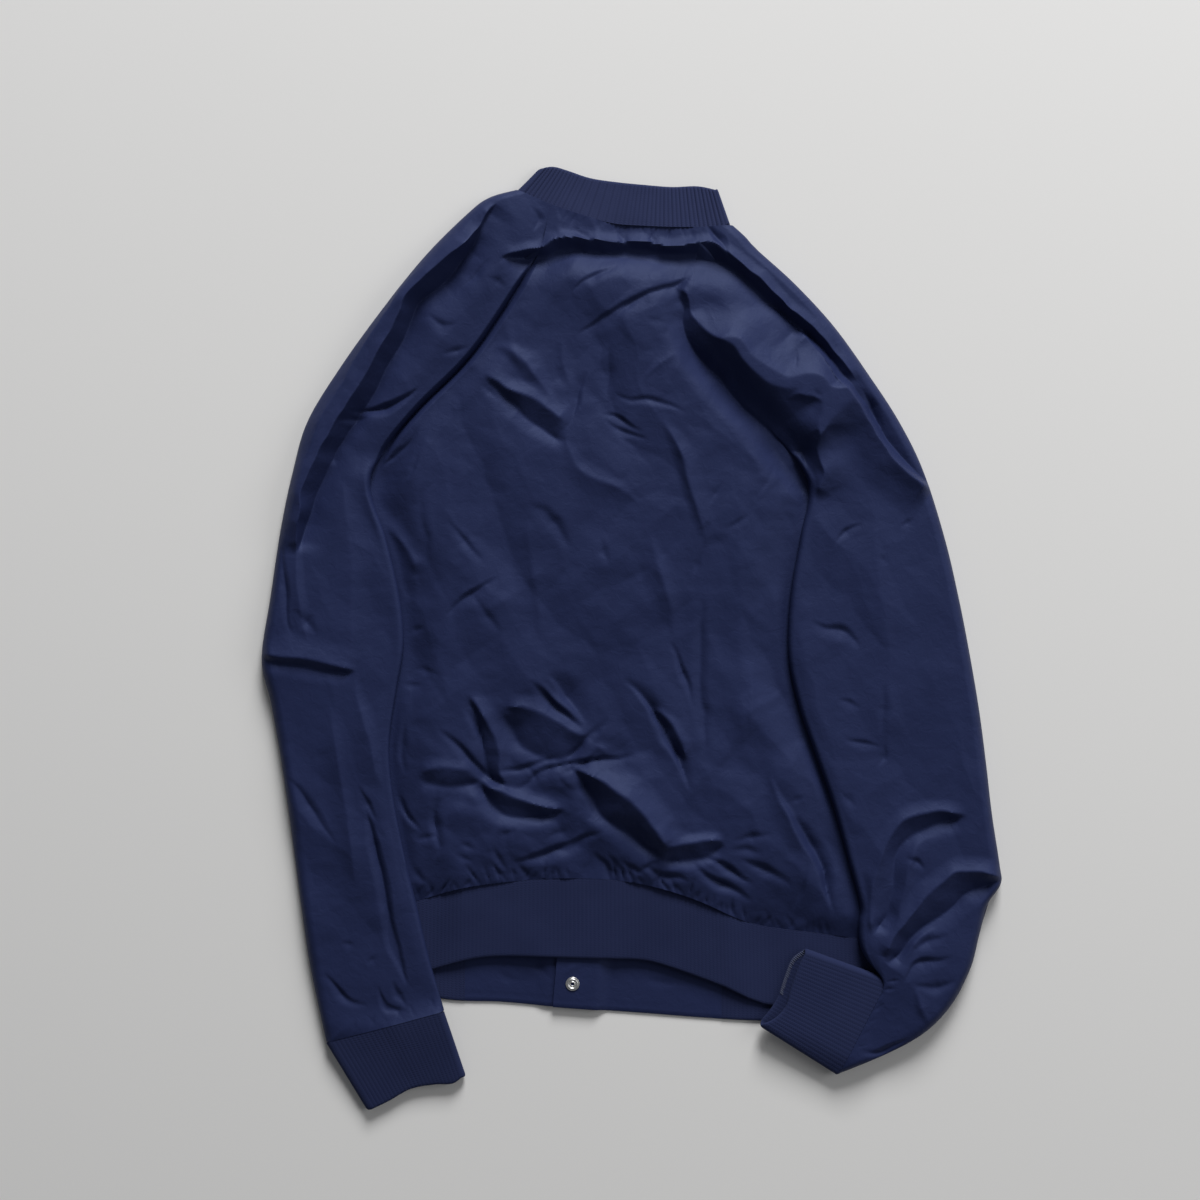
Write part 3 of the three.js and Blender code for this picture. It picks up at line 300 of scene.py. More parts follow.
# The left raglan seam, sunk into the cloth.
RAGLAN_SEAMS = [Crease(-10, 6, 3, LEFT_SLEEVE[2:ARMPIT + 1, UPPER_EDGE])]
BACK_FOLDS = [
    # Upper back.
    Crease(-2.5, 3, 9, [(-54, 311), (-42, 320), (-22, 328), (-12, 335)]),
    Crease(-3, 3, 12, [(-51, 271), (-20, 290), (12, 307), (50, 323), (61, 340)]),
    Crease(-2, 3, 6, [(-16, 287), (0, 299), (14, 308)]),
    Crease(-1.5, 5, 8, [(12, 284), (24, 283), (34, 281)]),
    Crease(3.5, 12, 10, [(-124, 264), (-106, 256), (-90, 241), (-68, 212)]),
    Crease(2, 10, 8, [(-63, 268), (-60, 245), (-52, 222)]),
    Facet(7, 14, 12,
          [(-133, 239), (-122, 230), (-108, 221), (-84, 213), (-72, 205), (-55, 192)],
          [(-133, 236), (-120, 222), (-92, 198), (-66, 180), (-57, 177)]),
    Crease(-3, 14, 4, [(-56, 188), (-50, 205), (-46, 222), (-40, 240)]),
    Crease(-2, 3, 6, [(-134, 228), (-126, 220), (-118, 214)]),
    Crease(-2.5, 8, 14, [(-22, 262), (-20, 240), (-22, 215)]),
    Crease(-3, 3, 9, [(-26, 200), (-14, 200), (-2, 194), (10, 187)]),
    Crease(-2, 2.5, 6, [(-25, 196), (-14, 190), (0, 186), (16, 179)]),
    Crease(-2, 4, 6, [(-16, 222), (-2, 216), (14, 215), (30, 211), (50, 201)]),
    Crease(1.5, 6, 6, [(12, 233), (24, 246), (42, 256)]),
    Crease(3, 14, 8, [(28, 196), (42, 168), (48, 148), (56, 124), (63, 100), (66, 80)]),
    Crease(2.5, 10, 14, [(-60, 178), (-46, 154), (-30, 143), (-12, 136), (10, 118)]),
    Crease(-2.5, 8, 14, [(-94, 124), (-76, 112), (-64, 96), (-54, 80)]),
    Crease(-2, 5, 8, [(-28, 92), (-24, 76), (-20, 66)]),
    Crease(2, 30, 22, [(100, 150), (96, 60), (98, -40), (104, -110)]),
    # Beside the right armpit.
    Crease(-1.5, 5, 8, [(127, 156), (117, 138), (110, 124)]),
    Crease(-1.5, 3, 6, [(83, 141), (76, 130), (68, 118)]),
    Crease(-2, 3, 5, [(71, 107), (66, 98), (61, 84)]),
    Crease(-2, 3, 6, [(84, 98), (95, 104), (106, 111)]),
    Crease(-2, 3, 5, [(62, 74), (55, 57)]),
    # Beside the left armpit.
    Crease(-2.5, 3, 4, [(-187, 193), (-196, 177), (-210, 165), (-225, 152), (-234, 133)]),
    Crease(-2, 3, 5, [(-190, 168), (-196, 153), (-206, 141)]),
    Facet(5.5, 12, 8, [(-226, 110), (-213, 92), (-199, 75), (-194, 56)],
          [(-224, 100), (-214, 70), (-205, 45), (-197, 33)]),
    Crease(-2, 8, 10, [(-190, 135), (-186, 100), (-184, 66)]),
    # Middle of the back.
    Crease(-2.5, 3, 10, [(-163, 107), (-150, 92), (-140, 80), (-131, 70)]),
    Crease(-3.5, 3, 12, [(-166, 21), (-155, 30), (-143, 39), (-118, 56)]),
    Crease(-2, 4, 8, [(-140, 38), (-128, 22), (-115, 5)]),
    Crease(2.5, 24, 14, [(-94, 108), (-90, 70), (-84, 40), (-80, 0)]),
    Crease(-2.5, 3, 5, [(-204, 6), (-196, 6), (-184, 9)]),
    Crease(-2, 4, 6, [(-198, -26), (-186, -27), (-172, -32)]),
    Crease(-2, 3, 5, [(-212, -40), (-200, -41), (-186, -41)]),
    Crease(3, 12, 16, [(16, 95), (26, 60), (34, 30), (36, 6)]),
    Crease(-3.5, 4, 5, [(34, 0), (40, -16), (46, -30), (51, -44), (55, -60)]),
    Crease(-2.5, 7, 8, [(61, 40), (62, 0), (61, -35), (63, -70), (65, -104)]),
    Crease(1.5, 5, 8, [(104, -20), (106, -50), (107, -84)]),
    Crease(-5, 12, 4, [(-8, -38), (8, -50), (18, -63), (35, -92), (41, -108), (53, -135)]),
    # The star of folds above the hem.
    Facet(7, 12, 10, [(-146, -49), (-138, -60), (-127, -78), (-120, -92), (-117, -118), (-112, -131)],
          [(-146, -51), (-137, -76), (-133, -100), (-129, -118), (-118, -131)]),
    Facet(9, 10, 12, [(-136, -122), (-126, -132), (-112, -137), (-80, -149), (-58, -151)],
          [(-136, -123), (-132, -136), (-124, -149), (-108, -158), (-82, -158), (-58, -152)]),
    Facet(4.5, 9, 12, [(-193, -122), (-180, -115), (-165, -114), (-142, -118)],
          [(-193, -124), (-176, -128), (-158, -130), (-133, -128)]),
    Facet(7.5, 12, 12, [(-118, -61), (-100, -60), (-78, -66), (-58, -78), (-38, -88)],
          [(-118, -62), (-108, -80), (-98, -95), (-82, -103), (-60, -105), (-38, -89)]),
    Crease(-4.5, 22, 4, [(-76, -30), (-64, -44), (-52, -60), (-42, -74)]),
    Crease(3, 6, 5, [(-86, -36), (-72, -50), (-58, -62), (-44, -76)]),
    Crease(-4, 4, 12, [(-93, -35), (-80, -48), (-63, -63), (-45, -78)]),
    Crease(-4, 4, 8, [(-173, -80), (-160, -91), (-148, -103), (-130, -122), (-104, -133)]),
    Crease(-3.5, 4, 7, [(-122, -116), (-95, -114), (-80, -108), (-64, -102)]),
    Crease(-3.5, 4, 9, [(-106, -132), (-93, -128), (-84, -118), (-70, -113), (-32, -109), (5, -105)]),
    Crease(-3, 3, 6, [(-63, -119), (-50, -115), (-35, -105), (-28, -96)]),
    Crease(-3, 3, 6, [(-22, -71), (-32, -82), (-39, -94)]),
    Crease(2, 4, 5, [(-33, -92), (-26, -98), (-20, -104)]),
    Facet(5, 7, 6, [(16, -60), (32, -72), (43, -90), (49, -110)],
          [(16, -61), (25, -80), (36, -98), (49, -111)]),
    Crease(-3, 4, 5, [(-30, -72), (-40, -86), (-50, -100), (-62, -112)]),
    Crease(-2.5, 3, 5, [(-150, -62), (-140, -76), (-134, -90), (-131, -104)]),
    Crease(-2, 3, 4, [(-95, -114), (-88, -120), (-84, -128)]),
    Crease(-1.5, 3, 4, [(-68, -117), (-60, -128), (-54, -135)]),
    # The long dark fold and its tail.
    Facet(14, 22, 16,
          [(-56, -114), (-34, -123), (-14, -134), (9, -153), (25, -176), (34, -189)],
          [(-56, -115), (-46, -123), (-38, -138), (-24, -158), (-5, -173), (9, -182), (28, -195)]),
    Facet(7.5, 9, 10, [(26, -187), (50, -181), (66, -178), (82, -179)],
          [(24, -197), (42, -198), (58, -195), (70, -189), (82, -181)]),
    # Beside the left sleeve.
    Crease(-3, 6, 4, [(-202, -72), (-206, -100), (-204, -120)]),
    Crease(-5.5, 5, 4, [(-216, -117), (-213, -134), (-207, -148), (-198, -161), (-188, -172)]),
    Crease(-4, 8, 6, [(-172, -133), (-177, -155), (-175, -174), (-173, -188), (-180, -197)]),
    Crease(-2.5, 4, 7, [(-194, -180), (-184, -178), (-174, -176)]),
    # Down to the hem.
    Crease(-5, 6, 6, [(-201, -200), (-194, -211), (-184, -217)]),
    Crease(-2, 3, 6, [(-121, -174), (-110, -173), (-100, -170)]),
    Crease(-1.5, 3, 6, [(-80, -178), (-66, -172), (-56, -171)]),
    Crease(-2.5, 3, 6, [(-158, -193), (-150, -197), (-141, -200)]),
    Crease(-2.5, 4, 6, [(-156, -184), (-146, -186), (-138, -190)]),
    Crease(-5, 5, 11, [(-106, -200), (-92, -196), (-75, -189), (-55, -184), (-42, -177), (-27, -171)]),
    Crease(-3.5, 4, 6, [(-124, -185), (-118, -196), (-110, -208)]),
    Crease(-3, 4, 6, [(-102, -200), (-95, -210), (-88, -216)]),
    Crease(-3.5, 4, 6, [(-34, -190), (-25, -200), (-17, -212)]),
    Crease(-2.5, 3, 5, [(-22, -190), (-15, -200), (-10, -208)]),
    Crease(-3, 4, 6, [(-12, -196), (0, -204), (12, -212)]),
    Crease(-3, 4, 7, [(1, -210), (13, -203), (28, -195)]),
    Crease(-4, 5, 8, [(10, -201), (26, -212), (42, -213), (52, -217)]),
    Crease(-5, 5, 9, [(54, -198), (64, -210), (74, -216), (92, -225), (108, -233)]),
    Crease(-4.5, 5, 7, [(62, -192), (80, -200), (94, -211), (108, -219)]),
    Crease(-4, 5, 9, [(96, -194), (114, -202), (130, -210), (142, -219)]),
    Crease(-2.5, 5, 8, [(86, -186), (102, -186), (118, -192)]),
    Crease(-2.5, 4, 8, [(90, -178), (108, -175), (126, -173)]),
    # Beside the right sleeve.
    Crease(4.5, 5, 14, [(123, -122), (134, -146), (145, -168), (155, -187), (165, -202)]),
    Crease(-7, 10, 5, [(145, -158), (155, -173), (164, -190), (171, -208), (175, -228), (182, -245)]),
    Crease(-2, 3, 5, [(158, -199), (153, -215), (146, -235), (143, -246)]),
    Crease(-2, 3, 5, [(141, -147), (149, -143), (158, -141)]),
]
TAB_FOLDS = [
    Crease(-1.6, 4, 6, [(-100, -287), (-90, -292), (-82, -296), (-71, -306)]),
    Crease(1.2, 4, 5, [(-64, -305), (-58, -298), (-51, -293), (-40, -291)]),
    Crease(-1, 4, 6, [(-124, -296), (-112, -304), (-96, -308)]),
    Crease(-1, 5, 6, [(10, -303), (26, -308), (48, -310)]),
]
LEFT_FOLDS = [
    # The roll of cloth down the outside of the upper arm.
    Facet(17, 26, 30,
          [(-299, 78), (-296, 110), (-291, 140), (-262, 193), (-242, 228), (-227, 253),
           (-208, 288), (-200, 306), (-168, 336), (-150, 350), (-136, 366), (-122, 388)],
          [(-298, 78), (-290, 108), (-280, 135), (-252, 185), (-235, 215), (-210, 260),
           (-195, 290), (-185, 305), (-160, 327), (-142, 352), (-134, 366), (-120, 388)]),
    Crease(3, 9, 8, [(-290, 160), (-275, 196), (-245, 250), (-226, 280), (-205, 314), (-186, 332)]),
    Crease(-6, 5, 8, [(-254, 203), (-238, 203), (-222, 206), (-206, 213), (-190, 225)]),
    Crease(-6, 8, 6, [(-262, 192), (-250, 196), (-236, 196)]),
    Crease(-2, 4, 8, [(-181, 291), (-170, 282), (-156, 283)]),
    Crease(-2.5, 5, 6, [(-171, 256), (-158, 258), (-145, 263)]),
    Crease(-2, 4, 8, [(-131, 323), (-122, 320), (-112, 313)]),
    Crease(-1.5, 3, 6, [(-152, 314), (-140, 326), (-126, 339)]),
    # Down to the elbow.
    Crease(2, 14, 34, [(-258, 140), (-256, 110), (-250, 60), (-250, 0), (-250, -24)]),
    Crease(3, 6, 18, [(-298, 96), (-298, 50), (-294, 20), (-290, 0)]),
    Crease(-2.5, 5, 6, [(-312, 85), (-310, 50), (-308, 20), (-302, 4)]),
    Crease(-3, 8, 8, [(-300, 26), (-290, 16), (-280, 6)]),
    # The elbow, pinched.
    Facet(5, 20, 12, [(-334, -16), (-300, -15), (-278, -19), (-248, -28)],
          [(-334, -19), (-300, -22), (-280, -27), (-248, -30)]),
    Crease(3, 10, 24, [(-250, -32), (-244, -60), (-236, -88), (-228, -110), (-220, -135)]),
    # The lower arm.
    Crease(-5, 6, 7, [(-238, -152), (-225, -208), (-214, -266), (-205, -292), (-199, -308)]),
    Crease(-2.5, 4, 7, [(-243, -130), (-236, -147), (-229, -162)]),
    Crease(-2.5, 6, 9, [(-309, -122), (-293, -138), (-278, -162), (-264, -182)]),
    Crease(3, 14, 16, [(-270, -60), (-262, -110), (-254, -160), (-246, -220)]),
    Crease(-3, 4, 8, [(-273, -296), (-262, -310), (-254, -321), (-236, -326)]),
    Crease(-4, 4, 6, [(-226, -311), (-222, -323), (-216, -330), (-197, -333)]),
    Crease(-4, 6, 6, [(-212, -305), (-208, -318), (-200, -328)]),
    Crease(-2, 3, 5, [(-260, -273), (-247, -275)]),
    Crease(-2, 3, 5, [(-237, -291), (-225, -285)]),
]
RIGHT_FOLDS = [
    # Upper arm.
    Crease(-2, 3, 5, [(146, 258), (144, 238)]),
    Crease(-3, 8, 6, [(206, 224), (214, 205), (222, 188)]),
    Crease(-2.5, 3, 7, [(181, 84), (192, 96), (206, 103)]),
    Crease(-2, 3, 7, [(237, 100), (252, 106)]),
    Crease(-1.5, 5, 5, [(221, 73), (229, 65)]),
    Crease(2, 30, 24, [(212, 130), (222, 40), (230, -40), (228, -110)]),
    Crease(-3, 5, 12, [(160, 17), (172, 11), (188, 8), (203, -6)]),
    Crease(-2, 3, 7, [(182, -55), (194, -55), (206, -61)]),
    Crease(-2, 3, 7, [(190, -87), (207, -92), (223, -96)]),
    Crease(-2.5, 4, 4, [(225, -94), (224, -104), (217, -113)]),
    Crease(-2, 7, 8, [(226, -40), (226, -62), (221, -84)]),
    Crease(-2, 6, 8, [(183, -134), (198, -148)]),
    # The lower end, bent inwards.
    Facet(7.5, 10, 14,
          [(215, -262), (213, -236), (216, -209), (222, -187), (233, -170), (248, -158),
           (277, -153), (299, -156)],
          [(216, -263), (228, -245), (233, -222), (234, -200), (239, -183), (252, -173),
           (270, -165), (299, -157)]),
    Crease(2, 7, 8, [(232, -262), (238, -245), (244, -215), (247, -195), (256, -180), (272, -174)]),
    Crease(-3.5, 4, 6, [(242, -192), (254, -196), (261, -204)]),
    Facet(9.5, 14, 14,
          [(226, -283), (232, -266), (245, -249), (266, -225), (288, -208), (310, -207), (334, -215)],
          [(229, -290), (241, -279), (257, -258), (283, -242), (301, -227), (323, -218), (334, -216)]),
    Crease(3, 6, 8, [(240, -292), (247, -279), (257, -265), (272, -256)]),
    Crease(-3, 6, 9, [(250, -278), (264, -268), (282, -262)]),
    Crease(-3.5, 4, 10, [(242, -306), (250, -291), (262, -285), (286, -283)]),
    Crease(-3, 8, 8, [(250, -307), (268, -309), (288, -304)]),
    Crease(2.5, 8, 6, [(252, -311), (257, -328), (267, -344)]),
    Crease(-4, 6, 8, [(204, -366), (222, -370), (246, -357)]),
]
CREASE_ENDS = 34.0  # over how much of its length a crease dies away at an end
FACET_ENDS = 10.0  # the same for a facet
CREASE_SPREAD = 1.1  # all the creases' widths are multiplied by this
FACET_DROP = 1.15  # and all the facets' drops by this
LEAN = 0.8  # the most that a gather leans, sideways by length
CELLS = 64  # cells each way before a noise repeats


# ---- fold heights
def nearest(line, x, y):
    """Distance to a smooth line, how far along it, how long it is, and which side."""
    path = along(line, 6 * (len(line) - 1))
    run = lengths(path)
    best = np.full(x.shape, np.inf)
    place = np.zeros(x.shape)
    on_left = np.zeros(x.shape, bool)
    for k in range(len(path) - 1):
        (x0, y0), (dx, dy) = path[k], path[k + 1] - path[k]
        span = dx * dx + dy * dy
        t = np.clip(((x - x0) * dx + (y - y0) * dy) / span, 0, 1)
        distance = np.hypot(x - x0 - t * dx, y - y0 - t * dy)
        closer = distance < best
        best = np.where(closer, distance, best)
        place = np.where(closer, run[k] + t * math.sqrt(span), place)
        on_left = np.where(closer, dx * (y - y0) - dy * (x - x0) > 0, on_left)
    return best, place, run[-1], on_left


def ends(place, length, over):
    """0 at both ends of a fold, 1 from the given length on."""
    return np.clip(np.minimum(place, length - place) / min(over, 0.5 * length), 0, 1)


def faded(distance, width):
    """1 on a line and 0 at the width from it, a little blunt on the line."""
    blunt = 0.4 + 0.04 * width
    away = np.sqrt(distance**2 + blunt**2) - blunt
    return np.clip(1 - away / width, 0, 1) ** 1.7


def crease_height(fold, x, y):
    """A crease narrows towards its ends, and a short one is lower."""
    distance, place, length, on_left = nearest(fold.line, x, y)
    fade = ends(place, length, CREASE_ENDS)
    width = np.where(on_left, fold.left, fold.right) * CREASE_SPREAD * (0.35 + 0.65 * fade)
    rise = fold.rise * min(0.25 + length / 60, 1)
    return rise * faded(distance, width) * fade


def facet_height(fold, x, y):
    """A slope that keeps its steepness: where its two lines meet it comes to a point."""
    from_ridge, at_ridge, ridge_length, above = nearest(fold.ridge, x, y)
    from_valley, at_valley, valley_length, inside = nearest(fold.valley, x, y)
    below = ~above & ~inside
    ridge_points = np.array(fold.ridge, float)
    widest = nearest(fold.valley, ridge_points[:, 0], ridge_points[:, 1])[0].max()
    width = from_ridge + from_valley
    share = from_ridge / np.maximum(width, 1e-6)
    width = np.where(above, from_valley - from_ridge, np.where(below, from_ridge - from_valley, width))
    top = fold.above / (fold.above + fold.below)
    height = top - share
    height = np.where(above, top * faded(from_ridge, fold.above), height)
    height = np.where(below, (top - 1) * faded(from_valley, fold.below), height)
    share = np.where(above, 0, np.where(below, 1, share))
    # It is weaker at its ends and where its two lines come close.
    at_ends = mix(ends(at_ridge, ridge_length, FACET_ENDS),
                  ends(at_valley, valley_length, FACET_ENDS), share)
    strength = at_ends * np.clip(2.4 * width / widest, 0, 1)
    return FACET_DROP * fold.drop * height * strength


def folds_at(folds, x, y):
    """The heights of all the folds together."""
    total = np.zeros(x.shape)
    for fold in folds:
        if isinstance(fold, Crease):
            height_of = crease_height
            points = np.array(fold.line)
            reach = CREASE_SPREAD * max(fold.left, fold.right)
        else:
            height_of = facet_height
            points = np.array([*fold.ridge, *fold.valley])
            reach = max(fold.above, fold.below)
        low, high = points.min(0) - reach, points.max(0) + reach
        near = (x > low[0]) & (x < high[0]) & (y > low[1]) & (y < high[1])
        if near.any():
            total[near] += height_of(fold, x[near], y[near])
    return total


class Lattice:
    """Seeded values of -1 to 1 at the corners of cells that fill the plan."""

    def __init__(self):
        self.values = rng.uniform(-1, 1, (CELLS, CELLS))

    def cell(self, u, v):
        """Where each point lies in its cell, and the values at the cell's corners."""
        u, v = u + CELLS / 2, v + CELLS / 2
        i, j = np.floor(u).astype(int), np.floor(v).astype(int)
        corners = [self.values[(i + di) % CELLS, (j + dj) % CELLS]
                   for di, dj in ((0, 0), (1, 0), (0, 1), (1, 1))]
        return u - i, v - j, *corners


class Noise(Lattice):
    """Smooth noise with waves of a given length."""

    def __init__(self, wave):
        super().__init__()
        self.wave = wave

    def at(self, x, y):
        a, b, first, along_u, along_v, last = self.cell(x / self.wave, y / self.wave)
        return mix(mix(first, along_u, smooth(a)), mix(along_v, last, smooth(a)), smooth(b))


class Facets(Lattice):
    """Flat facets with sharp edges, long one way, as crumpled nylon has."""

    def __init__(self, length, width, lean):
        super().__init__()
        self.length, self.width = length, width
        self.cos, self.sin = math.cos(math.radians(lean)), math.sin(math.radians(lean))

    def at(self, x, y):
        a, b, first, along_u, along_v, last = self.cell(
            (x * self.cos + y * self.sin) / self.length, (y * self.cos - x * self.sin) / self.width)
        by_u = first + a * (along_u - first) + b * (last - along_u)
        by_v = first + b * (along_v - first) + a * (last - along_v)
        return np.where(a > b, by_u, by_v)


drift = [Noise(38), Noise(38), Noise(13), Noise(13)]
swells = [Noise(75), Noise(34)]
crinkles = [Noise(31), Noise(14)]
facets = [Facets(length=86, width=34, lean=-68), Facets(length=47, width=23, lean=35),
          Facets(length=21, width=12, lean=-40)]


def drifted(x, y):
    """The plan pushed about a little, so that no fold runs as an even curve."""
    return (x + 1.8 * drift[0].at(x, y) + 1.1 * drift[2].at(x, y),
            y + 1.8 * drift[1].at(x, y) + 1.1 * drift[3].at(x, y))


def crumple(x, y):
    """Slack cloth: broad swells, and flat facets that are strongest above the waistband."""
    swell = 1.1 * swells[0].at(x, y) + 0.5 * swells[1].at(x, y)
    u = x + 9 * drift[0].at(x, y) + 2.5 * drift[2].at(x, y)
    v = y + 9 * drift[1].at(x, y) + 2.5 * drift[3].at(x, y)
    broad, middling, small = (layer.at(u, v) for layer in facets)
    # 1 in the middle of the star of folds, less all round it.
    worked = np.exp(-((x + 70) / 130) ** 2 - ((y + 140) / 70) ** 2)
    lines = 2 * np.abs(crinkles[0].at(x, y)) + np.abs(crinkles[1].at(x, y))
    swell = swell + (0.25 + 0.45 * worked) * lines
    return swell + 3.2 * broad + (1.2 + 1.8 * worked) * middling + (0.3 + 0.7 * worked) * small


def gathers(seam, inward, spacing, reach, depth):
    """Short troughs that leave a seam at uneven places, where its cloth is gathered."""
    total = lengths(seam)[-1]
    at = spacing * 0.6
    folds = []
    while at < total:
        start = on_line(seam, at / total)
        way = np.asarray(inward, float) + rng.uniform(-LEAN, LEAN) * np.array([inward[1], -inward[0]])
        end = start + way * reach * rng.uniform(0.5, 1.3)
        width = spacing * rng.uniform(0.22, 0.38)
        folds.append(Crease(-depth * rng.uniform(0.5, 1.2), width, width,
                            [start - 0.15 * way * reach, start, end]))
        at += spacing * rng.uniform(0.65, 1.4)
    return folds


# ---- heights
left_inner = along(LEFT_SLEEVE[:, UPPER_EDGE], 64)
right_inner = along(RIGHT_SLEEVE[:, UPPER_EDGE], 64)
left_side = along(LEFT_SIDE, 32)
right_side = along(RIGHT_SIDE, 32)
hem_seam = along(BACK_HEM, 32)
front_seam = along(FRONT_HEM, 32)
front_edge = along(HEM_FRONT_EDGE, 32)
hem_edge = along(HEM_BACK_EDGE, 32)

centre_line = (CENTRE_NECK - CENTRE_HEM) / np.linalg.norm(CENTRE_NECK - CENTRE_HEM)
centre_across = np.array([centre_line[1], -centre_line[0]])


def off_centre(x, y):
    """Distance from the fronts' centre line, more than 0 on its right."""
    return (x - CENTRE_HEM[0]) * centre_across[0] + (y - CENTRE_HEM[1]) * centre_across[1]


def lower_front(x, y):
    """Underside of the left front, the one next to the table in the overlap."""
    return LOWER_LIFT * step(off_centre(x, y), -FULL_LIFT - RAMP, -FULL_LIFT)


def upper_front(x, y):
    """Underside of the right front, which lies on it there."""
    return UPPER_LIFT * step(off_centre(x, y), FULL_LIFT + RAMP, FULL_LIFT)


def hem_crown(x):
    """1 where the waistband's back stands full, 0 where a sleeve or cuff presses it."""
    return step(x, -190, -150) * step(x, 130, 80)


def hem_top(x):
    """Height of the waistband's back at its seam."""
    return 2 * KNIT + GAP + HEM_LOFT * hem_crown(x)


def beside_sleeve(from_edge, y):
    """How much the body's loft holds up a sleeve that lies over its side.

    The distance from the sleeve's inner edge is positive on the body."""
    return EDGE_LOFT * step(from_edge, -28, 2) * step(y, ARMPIT_Y + 10, ARMPIT_Y - 50)


def seam_loft(y, lowest):
    """Height of the raglan seams, down to the lowest at the armpit."""
    neck = mix(SEAM_LOFT, NECK_LOFT, step(y, 330, 380))
    return mix(lowest, neck, step(y, ARMPIT_Y, ARMPIT_Y + 55))


def rest_at(x, y):
    """What a sleeve or cuff lies on: the body, or the table outside it."""
    outside = np.maximum.reduce([
        x_at(left_side, y) - x, x - x_at(right_side, y), y_at(front_edge, x) - y,
        2 * (y - ARMPIT_Y),
    ])
    on_hem = step(y - y_at(hem_seam, x), 40, 16)
    from_body = np.minimum(np.abs(x - x_at(left_inner, y)), np.abs(x - x_at(right_inner, y)))
    held = beside_sleeve(-from_body, y) * (1 - on_hem)
    return mix(SLEEVE_REST + held, HEM_REST, on_hem) * step(outside, 60, 28)


def at_least(low, height):
    """The larger of the two, with a soft change from one to the other."""
    over = height - low
    return low + 0.5 * (over + np.sqrt(over**2 + 0.6))


def at_most(high, height):
    """The smaller of the two, with a soft change from one to the other."""
    return high - at_least(0, high - height)


def rounded(distance, radius):
    """Height share of a rounded edge: 0 on the edge, 1 from the radius on."""
    t = np.clip(distance / radius, 0, 1)
    return np.sqrt(1 - (1 - t) ** 2)


hem_gathers = gathers(hem_seam[3:-3], (0, 1), spacing=7, reach=16, depth=3.4)
neck_gathers = gathers(along(BACK_NECK, 30), (0, -1), spacing=9, reach=12, depth=1.4)


def back_top(x, y):
    """Height of the back's outer face."""
    from_sleeve = np.minimum(x - x_at(left_inner, y), x_at(right_inner, y) - x)
    above_armpit = step(y, ARMPIT_Y - 15, ARMPIT_Y + 25)
    shown = step(from_sleeve, -1, 44)
    risen = mix(shown, step(from_sleeve, 10, 40), above_armpit)
    above_hem = y - y_at(hem_seam, x)
    puffed = mix(hem_top(x), BACK_LOFT, domed(above_hem, 60))
    middle = mix(puffed, NECK_LOFT, step(y, 320, 370))
    held = beside_sleeve(from_sleeve, y) * step(above_hem, -8, 22)
    edge = mix(SIDE_SEAM + held, seam_loft(y, SIDE_SEAM), above_armpit)
    dx, dy = drifted(x, y)
    own = folds_at(BACK_FOLDS, dx, dy) * step(above_hem, -2, 10) + crumple(x, y)
    own = own * step(from_sleeve, 0, 14) + folds_at(hem_gathers + neck_gathers, x, y)
    over_seams = folds_at(SHOULDER_FOLDS, dx, dy) + folds_at(RAGLAN_SEAMS, x, y)
    visible = mix(step(from_sleeve, -1, 7), 1, above_armpit)
    height = mix(edge, middle, risen) + (own + over_seams) * visible
    over_snaps = step(np.abs(off_centre(x, y)), 30, 18) * shown
    low = np.where(y > 300, OVER_COLLAR, mix(SIDE_SEAM, OVER_SNAPS, over_snaps))
    return at_least(low, at_most(HIGHEST, height))


# ---- meshes
def finish_piece(name, shape, material, nodes, knitted=None):
    """A piece of the jacket from its points in millimetres, its quads and its triangles.

    A knitted piece also has its place in ribs and in millimetres of depth, at each point."""
    points, quads, triangles = shape
    quads = np.asarray(quads, int).reshape(-1, 4)
    triangles = np.asarray(triangles, int).reshape(-1, 3)
    split = np.concatenate([quads[:, [0, 1, 2]], quads[:, [0, 2, 3]], triangles])
    a, b, c = (points[split[:, k]] for k in range(3))
    if (a * np.cross(b, c)).sum() < 0:
        quads, triangles = quads[:, ::-1], triangles[:, ::-1]
    mesh = bpy.data.meshes.new(name)
    mesh.from_pydata((points * MM).tolist(), [], quads.tolist() + triangles.tolist())
    mesh.polygons.foreach_set("use_smooth", np.ones(len(mesh.polygons), bool))
    mesh.set_sharp_from_angle(angle=math.radians(SHARP_EDGE))
    if knitted is not None:
        stitch = mesh.attributes.new("stitch", "FLOAT_VECTOR", "POINT")
        stitch.data.foreach_set("vector", np.asarray(knitted, np.float32).ravel())
    mesh.materials.append(material)
    piece = bpy.data.objects.new(name, mesh)
    bpy.context.scene.collection.objects.link(piece)
    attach(piece, "root")
    if nodes:
        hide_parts(*nodes)
    return piece


def grid_quads(numbers):
    """Faces of a grid of point numbers, rows by columns."""
    return np.stack([numbers[:-1, :-1], numbers[:-1, 1:], numbers[1:, 1:], numbers[1:, :-1]],
                    -1).reshape(-1, 4)


def zipped(a, b, at_a, at_b):
    """Triangles between two lines of points that lie at the given stations."""
    faces = []
    i = j = 0
    while i < len(a) - 1 or j < len(b) - 1:
        if j == len(b) - 1 or (i < len(a) - 1 and at_a[i + 1] <= at_b[j + 1]):
            faces.append((a[i], b[j], a[i + 1]))
            i += 1
        else:
            faces.append((a[i], b[j], b[j + 1]))
            j += 1
    return faces


def numbered(grid, first):
    """The numbers of a grid's points, from the first on."""
    return first + np.arange(grid.shape[0] * grid.shape[1]).reshape(grid.shape[:2])


